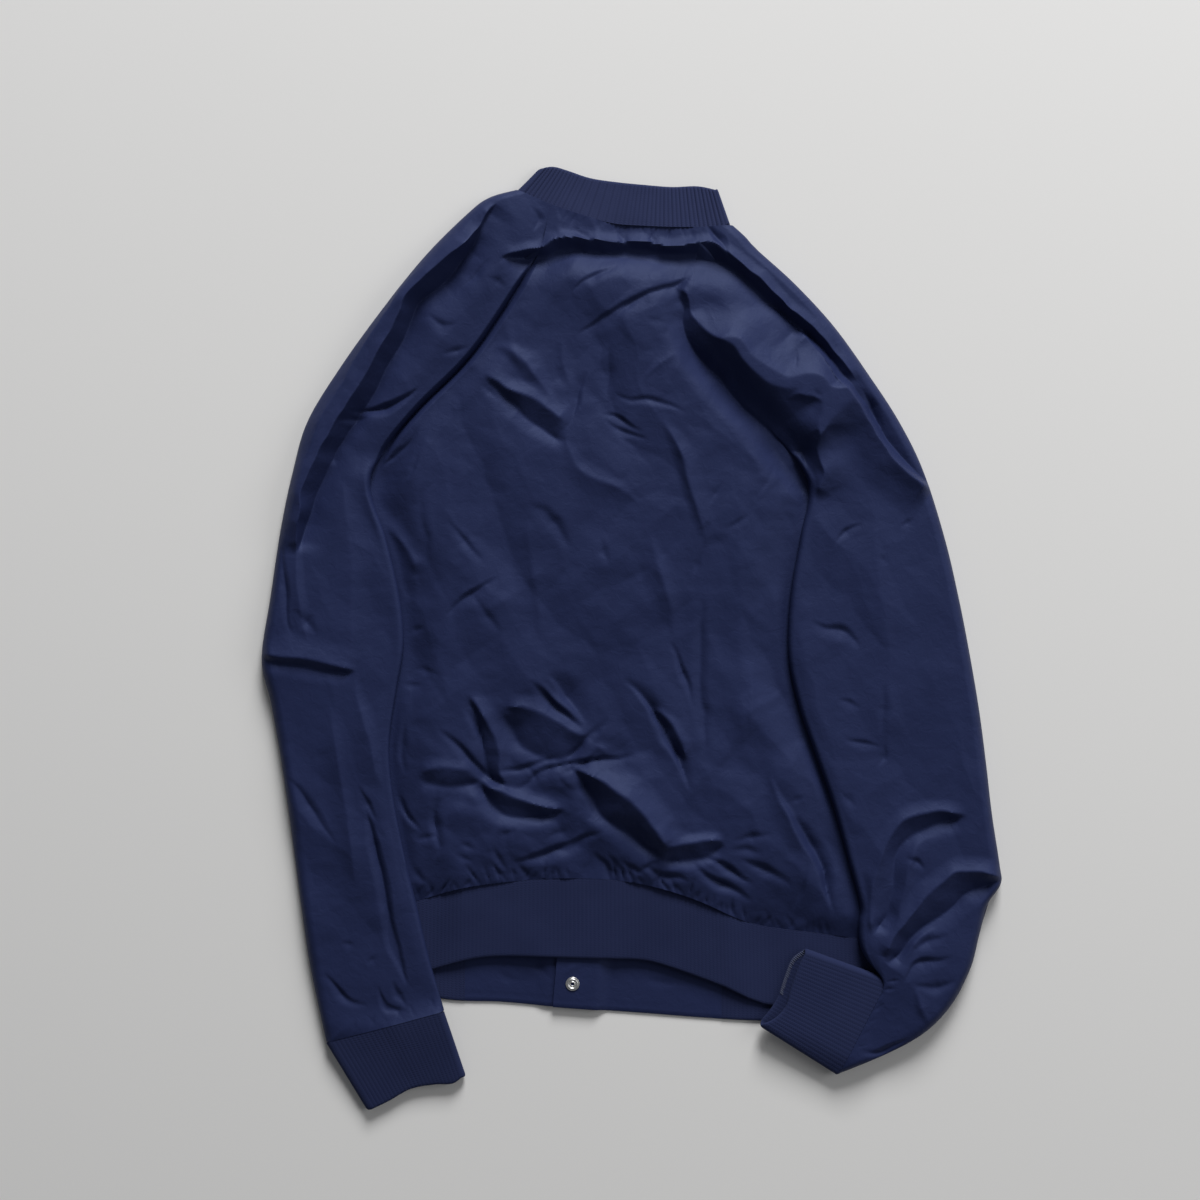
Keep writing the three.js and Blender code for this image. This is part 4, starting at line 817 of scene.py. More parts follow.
def shell(outer, inner, rows_of=None, columns_of=None, ring=False):
    """A closed wall between an outer grid and an inner one, which may be coarser.

    rows_of and columns_of are each the stations of the outer and of the inner grid. Left
    out, both grids have the same."""
    rows_of = rows_of or (np.arange(outer.shape[0]),) * 2
    columns_of = columns_of or (np.arange(outer.shape[1]),) * 2
    outside = numbered(outer, 0)
    inside = numbered(inner, outside.size)
    if ring:
        outside = np.concatenate([outside, outside[:, :1]], 1)
        inside = np.concatenate([inside, inside[:, :1]], 1)
        columns_of = [np.append(c, 2 * c[-1] - c[0]) for c in columns_of]
    quads = [grid_quads(outside), grid_quads(inside[::-1])]
    triangles = zipped(outside[0], inside[0], *columns_of)
    triangles += zipped(inside[-1], outside[-1], *columns_of[::-1])
    if not ring:
        triangles += zipped(inside[:, 0], outside[:, 0], *rows_of[::-1])
        triangles += zipped(outside[:, -1], inside[:, -1], *rows_of)
    points = np.concatenate([outer.reshape(-1, 3), inner.reshape(-1, 3)])
    return points, np.concatenate(quads), triangles


def around(stations):
    """For each coarse station, the fine ones from the station before it to the one after."""
    before = [stations[0], *stations[:-1]]
    after = [*stations[1:], stations[-1]]
    return [slice(first, last + 1) for first, last in zip(before, after)]


def lowest_near(heights, rows, columns):
    """The lowest height round each coarse station of a fine grid of heights."""
    return np.array([[heights[near_row, near_column].min() for near_column in around(columns)]
                     for near_row in around(rows)])


def drawn_in(points, towards, by=SEAM_INSET):
    """Points moved by a distance towards others."""
    way = towards - points
    share = np.asarray(by) / np.maximum(np.linalg.norm(way, axis=-1), 1e-9)
    return points + way * share[..., None]


def inset(plan):
    """A plan with each of its four edges drawn in from its seam."""
    plan = plan.copy()
    plan[:, 0] = drawn_in(plan[:, 0], plan[:, 1])
    plan[:, -1] = drawn_in(plan[:, -1], plan[:, -2])
    plan[0] = drawn_in(plan[0], plan[1])
    plan[-1] = drawn_in(plan[-1], plan[-2])
    return plan


def with_height(plan, height):
    """Points in space from points in plan and their heights."""
    return np.concatenate([plan, height[..., None]], -1)


# ---- body panels
# Stations of a panel's side line: along the raglan seam, then along the side seam.
RAGLAN_STATIONS = 12
FLANK_STATIONS = 17
BODY_STATIONS = RAGLAN_STATIONS + FLANK_STATIONS


def body_line(table, columns, side, station):
    """Points of a panel's side line: down the raglan seam, then down the side seam."""
    number = np.clip(station / RAGLAN_STATIONS, 0, 1) ** 1.25 * ARMPIT
    raglan = spline_at(table[:, columns], number / (len(table) - 1))
    flank = spline_at(side, np.clip((station - RAGLAN_STATIONS) / FLANK_STATIONS, 0, 1))
    return np.where((station <= RAGLAN_STATIONS)[:, None], raglan, flank)


def even_stations(lines_at, last, count):
    """Stations at which the rows of a grid lie evenly on its two side lines."""
    dense = np.linspace(0, last, 600)
    run = sum(lengths(line) for line in lines_at(dense))
    return np.interp(np.linspace(0, run[-1], count), run, dense)


def bowed(points, shares):
    """How far a curve lies from its chord, at shares of its length."""
    line = along(points, 40)
    return on_line(line, shares) - mix(line[0], line[-1], shares[:, None])


def panel_plan(lines_at, top_curve, bottom_curve, rows, columns):
    """The grid of a body panel in plan, between its two side lines, neck and hem."""
    shares = np.linspace(0, 1, columns)
    station = even_stations(lines_at, BODY_STATIONS, rows)
    left, right = lines_at(station)
    down = (station / BODY_STATIONS)[:, None, None]
    plan = mix(left[:, None], right[:, None], shares[None, :, None])
    plan = plan + bowed(top_curve, shares) * (1 - down) ** 2 + bowed(bottom_curve, shares) * down**3
    return inset(plan)


def back_lines(station):
    return (body_line(LEFT_SLEEVE, UPPER_EDGE, LEFT_SIDE, station),
            body_line(RIGHT_SLEEVE, UPPER_EDGE, RIGHT_SIDE, station))


def back_panel():
    """The back: a fine folded outside over a coarse inside that keeps below it."""
    plan = panel_plan(back_lines, BACK_NECK, BACK_HEM, BACK_ROWS, BACK_COLUMNS)
    tops = back_top(plan[..., 0], plan[..., 1])
    rows = np.arange(0, BACK_ROWS, BACK_ROW_STEP)
    columns = np.arange(0, BACK_COLUMNS, BACK_COLUMN_STEP)
    under = lowest_near(tops, rows, columns) - WOVEN
    shape = shell(with_height(plan, tops), with_height(plan[np.ix_(rows, columns)], under),
                  (np.arange(BACK_ROWS), rows), (np.arange(BACK_COLUMNS), columns))
    return finish_piece("back_panel", shape, nylon, ["back"])


def hem_between(start, end, line=front_seam):
    """Points of a hem line from one x to another."""
    x = np.linspace(start, end, 9)
    return np.stack([x, y_at(line, x)], -1)


def placket_line(offset, station):
    """Points of a front's edge, at an offset from the centre line to its right."""
    top = CENTRE_NECK + offset * centre_across
    hem_y = y_at(front_seam, CENTRE_HEM[0] + offset)
    share = (top[1] - hem_y) / (top[1] - CENTRE_HEM[1] - offset * centre_across[1])
    bottom = mix(top, CENTRE_HEM + offset * centre_across, share)
    return mix(top, bottom, (station / BODY_STATIONS)[:, None])


def front_left_lines(station):
    return (body_line(LEFT_SLEEVE, LOWER_EDGE, LEFT_SIDE, station),
            placket_line(PLACKET / 2, station))


def front_right_lines(station):
    return (placket_line(-PLACKET / 2, station),
            body_line(RIGHT_SLEEVE, LOWER_EDGE, RIGHT_SIDE, station))


def front_panel(name, node, lines_at, neck, hem, underside):
    """A front: it lies flat under the back, so it has no folds."""
    plan = panel_plan(lines_at, neck, hem, FRONT_ROWS, FRONT_COLUMNS)
    low = underside(plan[..., 0], plan[..., 1])
    shape = shell(with_height(plan, low + WOVEN), with_height(plan, low))
    return finish_piece(name, shape, nylon, [node])


# ---- sleeves
def sleeve_rows(table):
    """Evenly spaced rows of a sleeve's table, and the number of each in the table."""
    last = len(table) - 1

    def long_edges(number):
        row = spline_at(table, number / last)
        return row[:, UPPER_EDGE], row[:, OUTER_FOLD]

    number = even_stations(long_edges, last, SLEEVE_ROWS)
    return number, spline_at(table, number / last)


def sleeve_top(sections, number, plan, share, folds, cuff_gathers):
    """Heights of the upper layer, with columns at shares of the way from seam to fold."""
    back, fold = sections[:, UPPER_EDGE], sections[:, OUTER_FOLD]
    run = lengths((back + fold) / 2)
    to_cuff = (run[-1] - run)[:, None]
    width = np.linalg.norm(fold - back, axis=1)[:, None]
    closed = step(number, ARMPIT - 1, ARMPIT)[:, None]
    loft = sections[:, LOFT]
    x, y = plan[..., 0], plan[..., 1]
    from_seam = share * width
    low = rest_at(x, y) + LAYERS + 0.4
    round_it = rounded((1 - share) * width, EDGE_ROLL)
    sewn = mix(seam_loft(y, SLEEVE_REST + LAYERS), loft, step(from_seam, 0, 30))
    flat = mix(sewn, low + (loft - low) * rounded(from_seam, 5), closed)
    dx, dy = drifted(x, y)
    own = (folds_at(folds, dx, dy) + 0.55 * crumple(x, y)) * step(from_seam, 0, 14)
    own = own * step(to_cuff, -4, 14) + folds_at(cuff_gathers, x, y)
    shared = folds_at(SHOULDER_FOLDS, dx, dy) + folds_at(RAGLAN_SEAMS, x, y)
    bumps = (own + shared) * round_it * mix(1, step(from_seam, 0, 9), closed)
    top = low + (flat - low) * round_it + bumps
    at_cuff = low - LAYERS + CUFF_LOFT
    cuffed = mix(low, at_cuff, rounded(np.minimum(share, 1 - share) * width, 8))
    top = mix(cuffed, top, domed(to_cuff, 26))
    return at_least(low, at_most(HIGHEST, top))


def sleeve(name, node, table, folds, cuff_gathers):
    """One sheet: upper layer from the back edge to the outer fold, then the lower layer."""
    number, sections = sleeve_rows(table)
    back, front, fold = (sections[:, edge] for edge in (UPPER_EDGE, LOWER_EDGE, OUTER_FOLD))
    share = 1 - (1 - np.linspace(0, 1, SLEEVE_COLUMNS + 1)[:-1]) ** 1.3
    over = mix(back[:, None], fold[:, None], share[None, :, None])
    top = sleeve_top(sections, number, over, share, folds, cuff_gathers)

    under_share = np.linspace(1, 0, UNDER_COLUMNS)
    under = mix(front[:, None], fold[:, None], under_share[None, :, None])
    rest = rest_at(under[..., 0], under[..., 1])
    rest[:, 0] += LAYERS / 2
    outer = np.concatenate([with_height(over, top), with_height(under, rest)], 1)
    outer[0, :, :2] = drawn_in(outer[0, :, :2], outer[1, :, :2])
    outer[-1, :, :2] = drawn_in(outer[-1, :, :2], outer[-2, :, :2])

    # The inside has fewer points, a wall's thickness in from the folds and edges.
    rows = np.arange(0, SLEEVE_ROWS, SLEEVE_ROW_STEP)
    columns = np.arange(0, SLEEVE_COLUMNS, SLEEVE_COLUMN_STEP)
    back, front, fold, rest, under = (points[rows] for points in (back, front, fold, rest, under))
    wall = WOVEN / np.linalg.norm(fold - back, axis=1)[:, None]
    roof = lowest_near(top, rows, columns) - WOVEN
    upper = with_height(over[np.ix_(rows, columns)], roof)
    lower = with_height(under[:, 2::2], rest[:, 2::2] + WOVEN)
    upper[:, 0, :2] = mix(back, fold, wall)
    lower[:, -1, :2] = mix(front, fold, wall)
    turn = with_height(mix(fold, back, 2 * wall)[:, None], rest[:, :1] + WOVEN * 0.3)
    inner = np.concatenate([upper, turn, lower], 1)
    outer_stations = np.concatenate([share / 2, 1 - under_share / 2])
    inner_stations = np.concatenate([share[columns] / 2, [0.5], 1 - under_share[2::2] / 2])
    shape = shell(outer, inner, columns_of=(outer_stations, inner_stations), ring=True)
    return finish_piece(name, shape, nylon, [node])


def cuff_seam(table):
    """The seam of a sleeve and its cuff, from the outer fold to the inner edge."""
    return np.array([table[-1, OUTER_FOLD], table[-1, UPPER_EDGE]])


def gathers_at_cuff(table, spacing, reach, depth):
    way = (cuff_seam(table[:-1]) - cuff_seam(table)).mean(0)
    seam = along(cuff_seam(table), 12)
    return gathers(seam, way / np.linalg.norm(way), spacing, reach, depth)


# ---- knitted bands
# A stretch of a band: its seam and edge in plan, the middle of its wall's height at both,
# and which way its ribbed face looks.
Columns = namedtuple("Columns", "seam edge low high face")


def joined(*stretches):
    return Columns(*(np.concatenate(values) for values in zip(*stretches)))


def flat_columns(seam, edge, heights, side, insets=2):
    """A stretch that lies flat, with its ribbed face up (side 1) or down (side -1)."""
    count = RIB_COLUMNS * round(lengths(seam)[-1] / RIB_PITCH)
    shares = np.linspace(0, 1, count + 1)
    edges = on_line(edge, shares)
    seams = drawn_in(on_line(seam, shares), edges, insets * SEAM_INSET)
    low, high = heights(seams, edges)
    face = np.tile([0.0, 0.0, side], (count + 1, 1))
    return Columns(seams, edges, low, high, face)


def turn_columns(a, b, steps=9):
    """Half a circle round a vertical plane, from the end of a to the start of b."""
    t = np.linspace(0, 1, steps + 1)[1:-1]
    cos, sin = np.cos(math.pi * t), np.sin(math.pi * t)
    out = a.seam[-1] - a.seam[-2]
    out = out / np.linalg.norm(out)
    shift = (abs(a.low[-1] - b.low[0]) / 2 * sin)[:, None] * out
    edge = mix(a.edge[-1], b.edge[0], t[:, None]) + shift
    seam = mix(a.seam[-1], b.seam[0], t[:, None]) + shift
    low, high = (mix(start[-1], end[0], (1 - cos) / 2) for start, end in
                 ((a.low, b.low), (a.high, b.high)))
    face = np.stack([out[0] * sin, out[1] * sin, a.face[-1, 2] * cos], -1)
    return Columns(drawn_in(seam, edge, TURN_INSET * sin), edge, low, high, face)


def band(name, node, columns, rows, rise, material, ring=False):
    """The wall of a knitted band: rounded ribs on its face, and furrows on its inside."""
    middle = (columns.seam + columns.edge) / 2
    middle3 = np.concatenate([middle, ((columns.low + columns.high) / 2)[:, None]], 1)
    rib = lengths(middle3) / RIB_PITCH
    ridge = np.abs(np.sin(math.pi * rib)) ** 0.7
    v = (1 - (1 - np.linspace(0, 1, rows + 1)) ** 1.6)[:, None]
    depth = np.linalg.norm(columns.edge - columns.seam, axis=1)
    edge_round = rounded((1 - v) * depth + 0.15, 2.6)
    plan = mix(columns.seam[None], columns.edge[None], v[..., None])
    height = np.maximum(mix(columns.low, columns.high, v), KNIT / 2 + rise)
    waves = swells[1].at(plan[..., 0], plan[..., 1])
    slack = 0.45 * waves * step(v, 0, 0.25) * step(height, 3, 6)
    centre = with_height(plan, height + slack)
    lean = columns.face[None] * edge_round[..., None]
    outer = centre + lean * (KNIT / 2 + rise * ridge)[None, :, None]
    inner = centre - lean * (KNIT / 2 - 0.8 * rise * (1 - ridge))[None, :, None]
    knitted = np.stack([np.broadcast_to(rib, height.shape), v * depth, 0 * height], -1)
    knitted = np.concatenate([knitted.reshape(-1, 3)] * 2)
    shape = shell(outer, inner, ring=ring)
    return finish_piece(name, shape, material, [node], knitted)


def trimmed(points, start, end):
    """A line without its ends, so that the turns of a band stay inside its outline."""
    points = np.asarray(points, float)
    run = lengths(points)
    inside = (run > start + 1e-6) & (run < run[-1] - end - 1e-6)
    ends_at = on_line(points, [start / run[-1], 1 - end / run[-1]])
    return np.concatenate([ends_at[:1], points[inside], ends_at[1:]])


def on_table(seams, _edges):
    return np.full(len(seams), FLAT), np.full(len(seams), FLAT)


def doubled(front_right, back, front_left):
    """A band round the body: along one front, back over it, and along the other front."""
    return joined(front_right, turn_columns(front_right, back), back,
                  turn_columns(back, front_left), front_left)


def collar_heights(seams, _edges):
    """The back of the collar stands up in its middle and is pressed flat at both ends."""
    low = FLAT + 2 * COLLAR_TURN
    crown = step(seams[:, 0], -104, -54) * step(seams[:, 0], 91, 41)
    return mix(low, NECK_LOFT - KNIT / 2 - RIB_RISE, crown), mix(low, COLLAR_EDGE, crown)


def collar():
    left_end, right_end = LEFT_SLEEVE[0, OUTER_FOLD], RIGHT_SLEEVE[0, OUTER_FOLD]
    turn = COLLAR_TURN + KNIT / 2 + RIB_RISE + 1.5
    seam = trimmed([left_end, *along(BACK_NECK, 26), right_end], turn, turn)
    edge = trimmed(along(COLLAR_BACK_EDGE, 40), turn, turn)

    # The front half meets at the neck's middle.
    edge_middle = np.array([CENTRE_NECK[0], 334.0])
    edge_line = along(COLLAR_FRONT_EDGE, 40)
    left_neck, right_neck = along(LEFT_FRONT_NECK, 10), along(RIGHT_FRONT_NECK, 10)

    def beside(line, side):
        return line[side * (line[:, 0] - CENTRE_NECK[0]) > 0]

    left_seam = trimmed([left_end, *beside(left_neck, -1), CENTRE_NECK], turn, GAP)
    left_edge = trimmed([*beside(edge_line, -1), edge_middle], turn, GAP)
    right_seam = trimmed([CENTRE_NECK, *beside(right_neck, 1), right_end], GAP, turn)
    right_edge = trimmed([edge_middle, *beside(edge_line, 1)], GAP, turn)
    columns = doubled(
        flat_columns(right_seam, right_edge, on_table, -1),
        flat_columns(seam[::-1], edge[::-1], collar_heights, 1),
        flat_columns(left_seam, left_edge, on_table, -1))
    # Its knit is the rib knit painted lighter, as painted light on the raised collar.
    return band("collar_rib", "collar", columns, BAND_ROWS, 1.1 * RIB_RISE, painted_light_knit)


def waistband_heights(seams, edges):
    """The back of the waistband stands highest over the placket, and flat at both ends."""
    low = FLAT + 2 * HEM_TURN
    crown = hem_crown(seams[:, 0])
    over_placket = step(np.abs(edges[:, 0] - CENTRE_HEM[0]), 58, 34)
    edge_high = mix(low, HEM_EDGE, crown * mix(0.75, 1, over_placket))
    return mix(low, hem_top(seams[:, 0]) - FLAT, crown), edge_high


def front_stretch(start, end):
    """The part of the waistband on a front, from one x to another."""
    return flat_columns(hem_between(start, end, along(FRONT_HEM, 40)),
                        hem_between(start, end, front_edge), on_table, -1)


def waistband():
    turn = HEM_TURN + KNIT / 2 + RIB_RISE
    seam = trimmed(on_line(along(BACK_HEM, 40), np.linspace(0, 1, 27)), turn, turn)
    edge = trimmed(hem_edge, turn, turn)
    columns = doubled(
        front_stretch(RIGHT_RIB_END, BACK_HEM[-1][0] - turn),
        flat_columns(seam[::-1], edge[::-1], waistband_heights, 1),
        front_stretch(BACK_HEM[0][0] + turn, LEFT_RIB_END))
    return band("waistband_rib", "waistband", columns, BAND_ROWS, 0.3 * RIB_RISE, band_knit)


def cuff(name, node, table, mouths):
    """A ring: ribbed upper layer, turn at the underarm, lower layer, turn."""
    turn = CUFF_LOFT / 2
    seam = trimmed(cuff_seam(table), turn, turn)

    def layer(mouth, offset, side):
        def heights(seams, edges):
            return (rest_at(seams[:, 0], seams[:, 1]) + offset,
                    rest_at(edges[:, 0], edges[:, 1]) + offset)
        return flat_columns(seam, trimmed(along(mouth, 24), turn, turn), heights, side, insets=3)

    upper = layer(mouths["upper"], CUFF_LOFT - FLAT, 1)
    lower = Columns(*(values[::-1] for values in layer(mouths["lower"], FLAT, -1)))
    columns = joined(upper, turn_columns(upper, lower), lower, turn_columns(lower, upper))
    return band(name, node, columns, CUFF_ROWS, 0.25 * RIB_RISE, band_knit, ring=True)


# ---- hem tabs
def hem_tab(name, node, edge_x, rib_x, underside):
    """A woven tab of the waistband, from its edge on the placket to its rib."""
    slant = HEM_DEPTH * centre_line[0] / centre_line[1]
    v = np.linspace(0, 1, TAB_ROWS)[:, None]
    x = mix(edge_x - slant * v, rib_x, np.linspace(0, 1, TAB_COLUMNS)[None])
    plan = inset(np.stack([x, mix(y_at(front_seam, x), y_at(front_edge, x), v)], -1))
    x, y = plan[..., 0], plan[..., 1]
    low = underside(x, y)
    from_edge = y - y_at(front_edge, x)
    hem = rounded(from_edge + 0.2, 2.2)
    thick = KNIT * (0.35 + 0.65 * hem)
    stitched = -0.35 * faded(np.abs(from_edge - 6), 1.2)
    top = low + thick + stitched + folds_at(TAB_FOLDS, x, y) * hem
    shape = shell(with_height(plan, top), with_height(plan, low))
    return finish_piece(name, shape, nylon, [node])


# ---- small parts
def turned(profile, place, sides=48):
    """Points and faces of a ring turned round an upright axis, from its closed profile."""
    angles = np.linspace(0, 2 * math.pi, sides, endpoint=False)
    r, z = np.array(profile, float).T
    points = np.stack([np.outer(np.cos(angles), r), np.outer(np.sin(angles), r),
                       np.broadcast_to(z, (sides, len(r)))], -1) + place
    numbers = np.arange(sides * len(r)).reshape(sides, len(r))
    numbers = np.concatenate([numbers, numbers[:1]])
    numbers = np.concatenate([numbers, numbers[:, :1]], 1)
    return points.reshape(-1, 3), grid_quads(numbers), []


def arc(centre, radius, start, end, steps=7):
    """Points of an arc of a profile, between two angles in degrees."""
    angles = np.radians(np.linspace(start, end, steps))
    return [(centre[0] + radius * math.cos(a), centre[1] + radius * math.sin(a)) for a in angles]


def snap_socket(number):
    """The ring face of a snap: flange, rolled rim and a spring eyelet in its middle."""
    node = f"snap_ring_{number}"
    low, high = (np.array(corner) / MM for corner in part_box(node))
    place = np.array([*(low[:2] + high[:2]) / 2, low[2]])
    profile = [
        # The flange: its flat back, its rounded edge and its face.
        (1.5, 0), (SNAP_RADIUS - 0.35, 0),
        *arc((SNAP_RADIUS - 0.35, 0.35), 0.35, -60, 90),
        (SNAP_RADIUS - 1.1, 0.62),
        # The rolled rim, the well inside it and the spring eyelet.
        *arc((SNAP_RADIUS - 1.9, 0.62), 0.75, 10, 170),
        (SNAP_RADIUS - 3.3, 0.4),
        *arc((1.95, 0.5), 0.42, 20, 180),
    ]
    return finish_piece(f"snap_socket_{number}", turned(profile, place), metal,
                        [node])


def cuff_stitches():
    """Overcast stitches round the open mouth of the right cuff's lower layer."""
    count, thread, reach = 27, 0.34, 3.2
    rings, sides = 7, 8
    first, last = 0.42, 0.985  # shares of the mouth
    mouth = along(RIGHT_CUFF["lower"], 60)
    seam = cuff_seam(RIGHT_SLEEVE)
    angles = np.linspace(0, 2 * math.pi, sides, endpoint=False)
    points, quads = [], []
    for k in range(count):
        share = mix(first, last, k / (count - 1))
        edge = on_line(mouth, share)
        way = on_line(seam, share) - edge
        way = way / np.linalg.norm(way)
        across = np.array([-way[1], way[0]])
        start = edge - 0.3 * way + 0.5 * across
        end = edge + (reach + rng.uniform(-0.5, 0.6)) * way - rng.uniform(0.3, 0.9) * across
        for t in np.linspace(0, 1, rings):
            thick = thread * math.sqrt(max(1 - (2 * t - 1) ** 6, 0.12))
            height = rest_at(*edge) + KNIT + 0.15 + 0.35 * math.sin(math.pi * t)
            at = mix(start, end, t) + thick * np.outer(np.cos(angles), across)
            points.extend(with_height(at, height + thick * np.sin(angles)))
        grid = np.arange(rings * sides).reshape(rings, sides) + k * rings * sides
        quads.extend(grid_quads(np.concatenate([grid, grid[:, :1]], 1)))
        for cap in (np.roll(grid[0, ::-1], 1), grid[-1]):
            quads.extend(cap[[0, i, i + 1, i + 2]] for i in range(1, sides - 1, 2))
    shape = np.array(points), quads, []
    return finish_piece("cuff_stitches", shape, thread_material, [])


# ---- materials
class Shader:
    """A material with a Principled shader, and helpers that add nodes to it."""

    def __init__(self, name, colour, roughness, **inputs):
        self.material = bpy.data.materials.new(name)
        self.material.use_nodes = True
        self.tree = self.material.node_tree
        self.surface = self.tree.nodes["Principled BSDF"]
        self.surface.inputs["Base Color"].default_value = (*colour, 1)
        self.surface.inputs["Roughness"].default_value = roughness
        for key, value in inputs.items():
            self.surface.inputs[key.replace("_", " ")].default_value = value

    def node(self, kind, **settings):
        made = self.tree.nodes.new(kind)
        for key, value in settings.items():
            if key in made.inputs:
                made.inputs[key].default_value = value
            else:
                setattr(made, key, value)
        return made

    def link(self, source, target):
        self.tree.links.new(source, target)

    def maths(self, operation, *values):
        """The result of a sum on sockets and numbers."""
        made = self.node("ShaderNodeMath", operation=operation)
        for socket, value in zip(made.inputs, values):
            if isinstance(value, (int, float)):
                socket.default_value = value
            else:
                self.link(value, socket)
        return made.outputs["Value"]

    def texture(self, kind, **settings):
        """A procedural texture over the piece's own coordinates."""
        made = self.node(f"ShaderNodeTex{kind}", **settings)
        self.link(self.node("ShaderNodeTexCoord").outputs["Object"], made.inputs["Vector"])
        return made.outputs["Fac"]

    def tinted(self, factor, dark, light):
        """Base colour from dark to light by a factor from 0 to 1."""
        ramp = self.node("ShaderNodeValToRGB")
        for element, colour, position in zip(ramp.color_ramp.elements, (dark, light), (0.25, 0.75)):
            element.color = (*colour, 1)
            element.position = position
        self.link(factor, ramp.inputs["Fac"])
        self.link(ramp.outputs["Color"], self.surface.inputs["Base Color"])

    def bumps(self, layers):
        """Bump from several (height, distance in metres, strength) layers."""
        normal = None
        for height, distance, strength in layers:
            bump = self.node("ShaderNodeBump", Distance=distance, Strength=strength)
            self.link(height, bump.inputs["Height"])
            if normal is not None:
                self.link(normal, bump.inputs["Normal"])
            normal = bump.outputs["Normal"]
        self.link(normal, self.surface.inputs["Normal"])


def nylon_material():
    """Thin crisp nylon with a little sheen: slight crinkles, a grain, warp and weft."""
    shader = Shader("navy_nylon", (0.016, 0.022, 0.070), 0.56, Specular_IOR_Level=0.24,
                    Specular_Tint=(0.5, 0.62, 1.0, 1))
    blotch = shader.texture("Noise", Scale=14, Detail=4, Roughness=0.6)
    shader.tinted(blotch, (0.0145, 0.0205, 0.066), (0.0175, 0.0245, 0.077))
    crinkle = shader.texture("Noise", Scale=120, Detail=5, Roughness=0.55, Distortion=0.6)
    grain = shader.texture("Noise", Scale=900, Detail=2, Roughness=0.6)
    warp = shader.texture("Wave", bands_direction="X", Scale=420, Distortion=0.6)
    weft = shader.texture("Wave", bands_direction="Y", Scale=420, Distortion=0.6)
    shader.bumps([(crinkle, 0.0009, 0.5), (grain, 0.0002, 0.3),
                  (warp, 0.00008, 0.3), (weft, 0.00008, 0.3)])
    return shader.material


def knit_material(name, dark, light):
    """Rib knit: rows of stitches along each rib, and a soft fibrous surface."""
    shader = Shader(name, dark, 0.85, Sheen_Weight=0.06,
                    Sheen_Roughness=0.5, Sheen_Tint=(0.5, 0.6, 1.0, 1), Specular_IOR_Level=0.08)
    stitch = shader.node("ShaderNodeAttribute", attribute_name="stitch").outputs["Vector"]
    split = shader.node("ShaderNodeSeparateXYZ")
    shader.link(stitch, split.inputs["Vector"])
    across = shader.maths("FRACT", split.outputs["X"])
    lean = shader.maths("ABSOLUTE", shader.maths("SUBTRACT", across, 0.5))
    row = shader.maths("ADD", shader.maths("DIVIDE", split.outputs["Y"], STITCH_PITCH),
                       shader.maths("MULTIPLY", lean, 1.1))
    loops = shader.maths("SINE", shader.maths("MULTIPLY", row, 2 * math.pi))
    blotch = shader.texture("Noise", Scale=18, Detail=4, Roughness=0.6)
    fibre = shader.texture("Noise", Scale=1400, Detail=3, Roughness=0.7)
    shader.tinted(blotch, dark, light)
    shader.bumps([(loops, 0.00012, 0.35), (fibre, 0.0003, 0.5)])
    return shader.material


def metal_material():
    shader = Shader("bright_steel", (0.86, 0.86, 0.85), 0.34, Metallic=1.0)
    brushed = shader.texture("Noise", Scale=1500, Detail=2)
    shader.bumps([(brushed, 0.00005, 0.2)])
    return shader.material


def plain_thread():
    shader = Shader("pale_thread", (0.10, 0.12, 0.21), 0.7, Sheen_Weight=0.2)
    twist = shader.texture("Noise", Scale=2500, Detail=2)
    shader.bumps([(twist, 0.0001, 0.4)])
    return shader.material


# ---- stage
def floor():
    shader = Shader("pale_floor", (0.80, 0.795, 0.785), 0.7)
    mesh = bpy.data.meshes.new("floor")
    corners = [(-1, -1), (1, -1), (1, 1), (-1, 1)]
    mesh.from_pydata([(FLOOR_REACH * x, FLOOR_REACH * y, FLOOR_TOP) for x, y in corners],
                     [], [(0, 1, 2, 3)])
    mesh.materials.append(shader.material)
    made = bpy.data.objects.new("floor", mesh)
    bpy.context.scene.collection.objects.link(made)


def area_light(name, place, size, watts):
    """A square light that looks at the jacket's middle."""
    light = bpy.data.lights.new(name, "AREA")
    light.shape = "SQUARE"
    light.size = size
    light.energy = watts
    made = bpy.data.objects.new(name, light)
    made.location = place
    made.rotation_euler = (-Vector(place)).to_track_quat("-Z", "Y").to_euler()
    bpy.context.scene.collection.objects.link(made)


def studio():
    """A broad low light from beyond the collar, a weak one from the right, dim surroundings."""
    for name, light in LIGHTS.items():
        area_light(name, **light)
    world = bpy.data.worlds.new("surroundings")
    world.use_nodes = True
    background = world.node_tree.nodes["Background"]
    background.inputs["Color"].default_value = (0.95, 0.97, 1.0, 1)
    background.inputs["Strength"].default_value = SURROUNDINGS
    bpy.context.scene.world = world
    bpy.context.scene.view_settings.view_transform = "Standard"


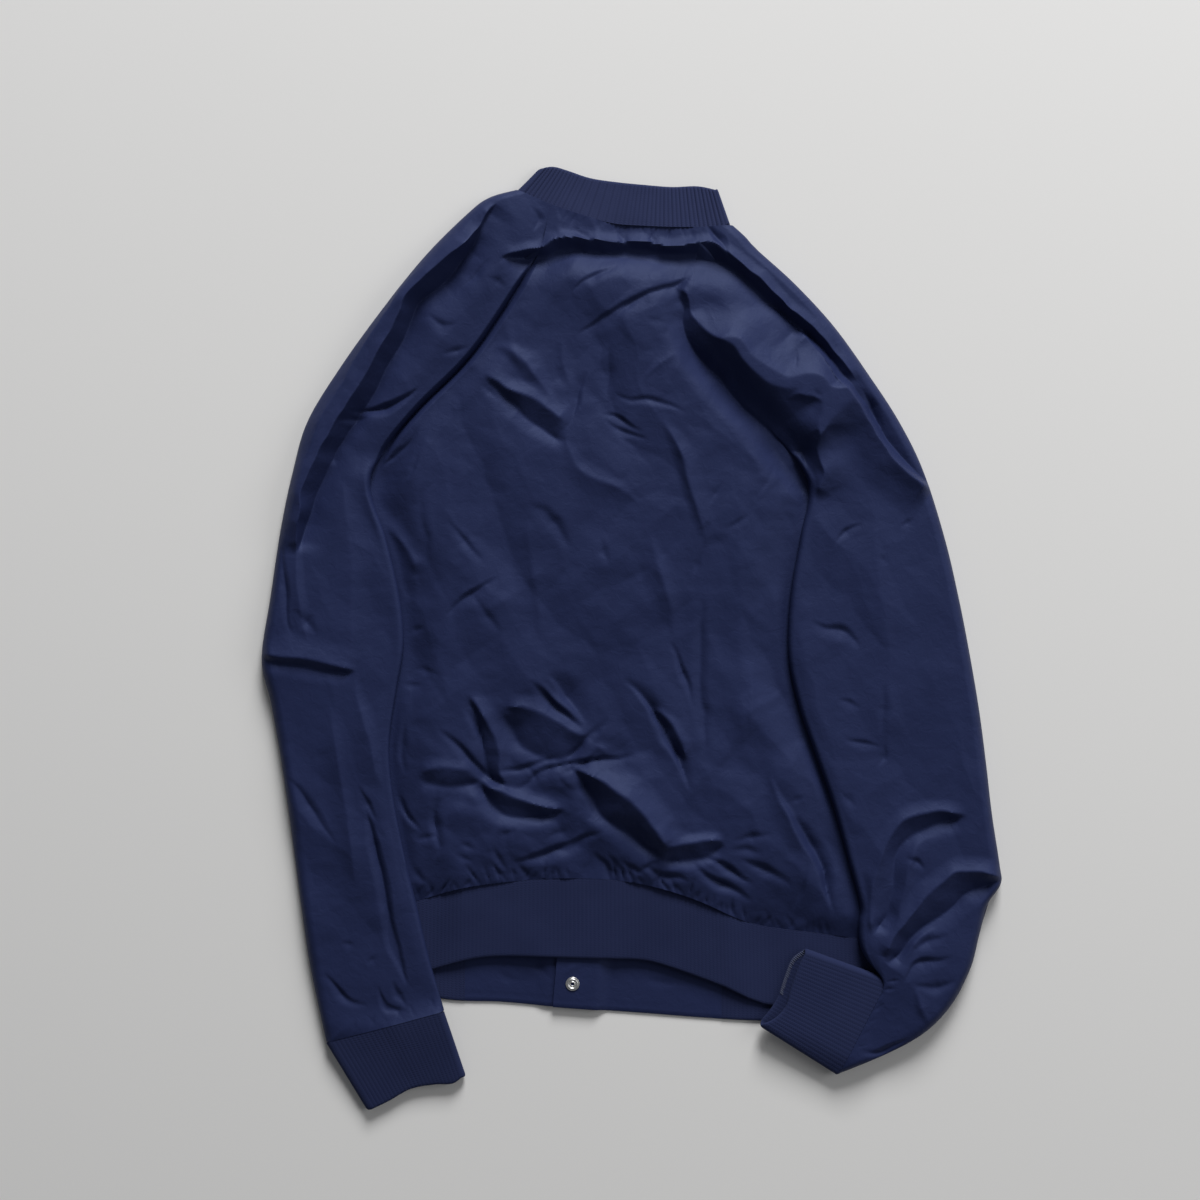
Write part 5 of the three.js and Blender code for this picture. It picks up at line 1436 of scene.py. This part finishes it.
def camera_above():
    """Straight down, a little to the left of and above the jacket's middle."""
    camera = bpy.data.cameras.new("camera")
    camera.sensor_width = 36
    camera.lens = camera.sensor_width * (CAMERA_HEIGHT - JACKET_MIDDLE) / VIEW_WIDTH
    made = bpy.data.objects.new("camera", camera)
    made.location = (*CAMERA_OVER, CAMERA_HEIGHT)
    bpy.context.scene.collection.objects.link(made)
    bpy.context.scene.camera = made


# ---- the jacket
nylon = nylon_material()
band_knit = knit_material("navy_rib_knit", (0.0155, 0.0215, 0.064), (0.0195, 0.0265, 0.075))
# The collar has the same knit as the waistband and cuffs in a lighter colour: painted light, for the
# collar's back that stands up towards the light.
painted_light_knit = knit_material("rib_knit_painted_lighter", (0.022, 0.029, 0.078), (0.027, 0.035, 0.091))
metal = metal_material()
thread_material = plain_thread()

back = back_panel()
sleeve_left = sleeve("sleeve_left_cloth", "sleeve_left", LEFT_SLEEVE, LEFT_FOLDS,
                     gathers_at_cuff(LEFT_SLEEVE, spacing=9, reach=13, depth=1.8))
sleeve_right = sleeve("sleeve_right_cloth", "sleeve_right", RIGHT_SLEEVE, RIGHT_FOLDS,
                      gathers_at_cuff(RIGHT_SLEEVE, spacing=9, reach=12, depth=1.6))

left_edge_x, right_edge_x = (placket_line(side * PLACKET / 2, np.array([BODY_STATIONS]))[0, 0]
                             for side in (1, -1))
front_left = front_panel("front_left_panel", "front_left", front_left_lines, LEFT_FRONT_NECK,
                         hem_between(LEFT_SIDE[-1][0], left_edge_x), lower_front)
front_right = front_panel("front_right_panel", "front_right", front_right_lines,
                          RIGHT_FRONT_NECK, hem_between(right_edge_x, RIGHT_SIDE[-1][0]),
                          upper_front)

collar_rib = collar()
waist_rib = waistband()
cuff_left = cuff("cuff_left_rib", "cuff_left", LEFT_SLEEVE, LEFT_CUFF)
cuff_right = cuff("cuff_right_rib", "cuff_right", RIGHT_SLEEVE, RIGHT_CUFF)
tab_left = hem_tab("hem_tab_left_cloth", "hem_tab_left", left_edge_x, LEFT_RIB_END, lower_front)
tab_right = hem_tab("hem_tab_right_cloth", "hem_tab_right", right_edge_x, RIGHT_RIB_END,
                    upper_front)
overcast = cuff_stitches()
sockets = [snap_socket(k + 1) for k in range(SNAP_COUNT)]
for k in range(SNAP_COUNT):
    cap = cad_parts[f"snap_cap_{k + 1}"]
    cap.data.materials.clear()
    cap.data.materials.append(metal)

floor()
studio()
camera_above()
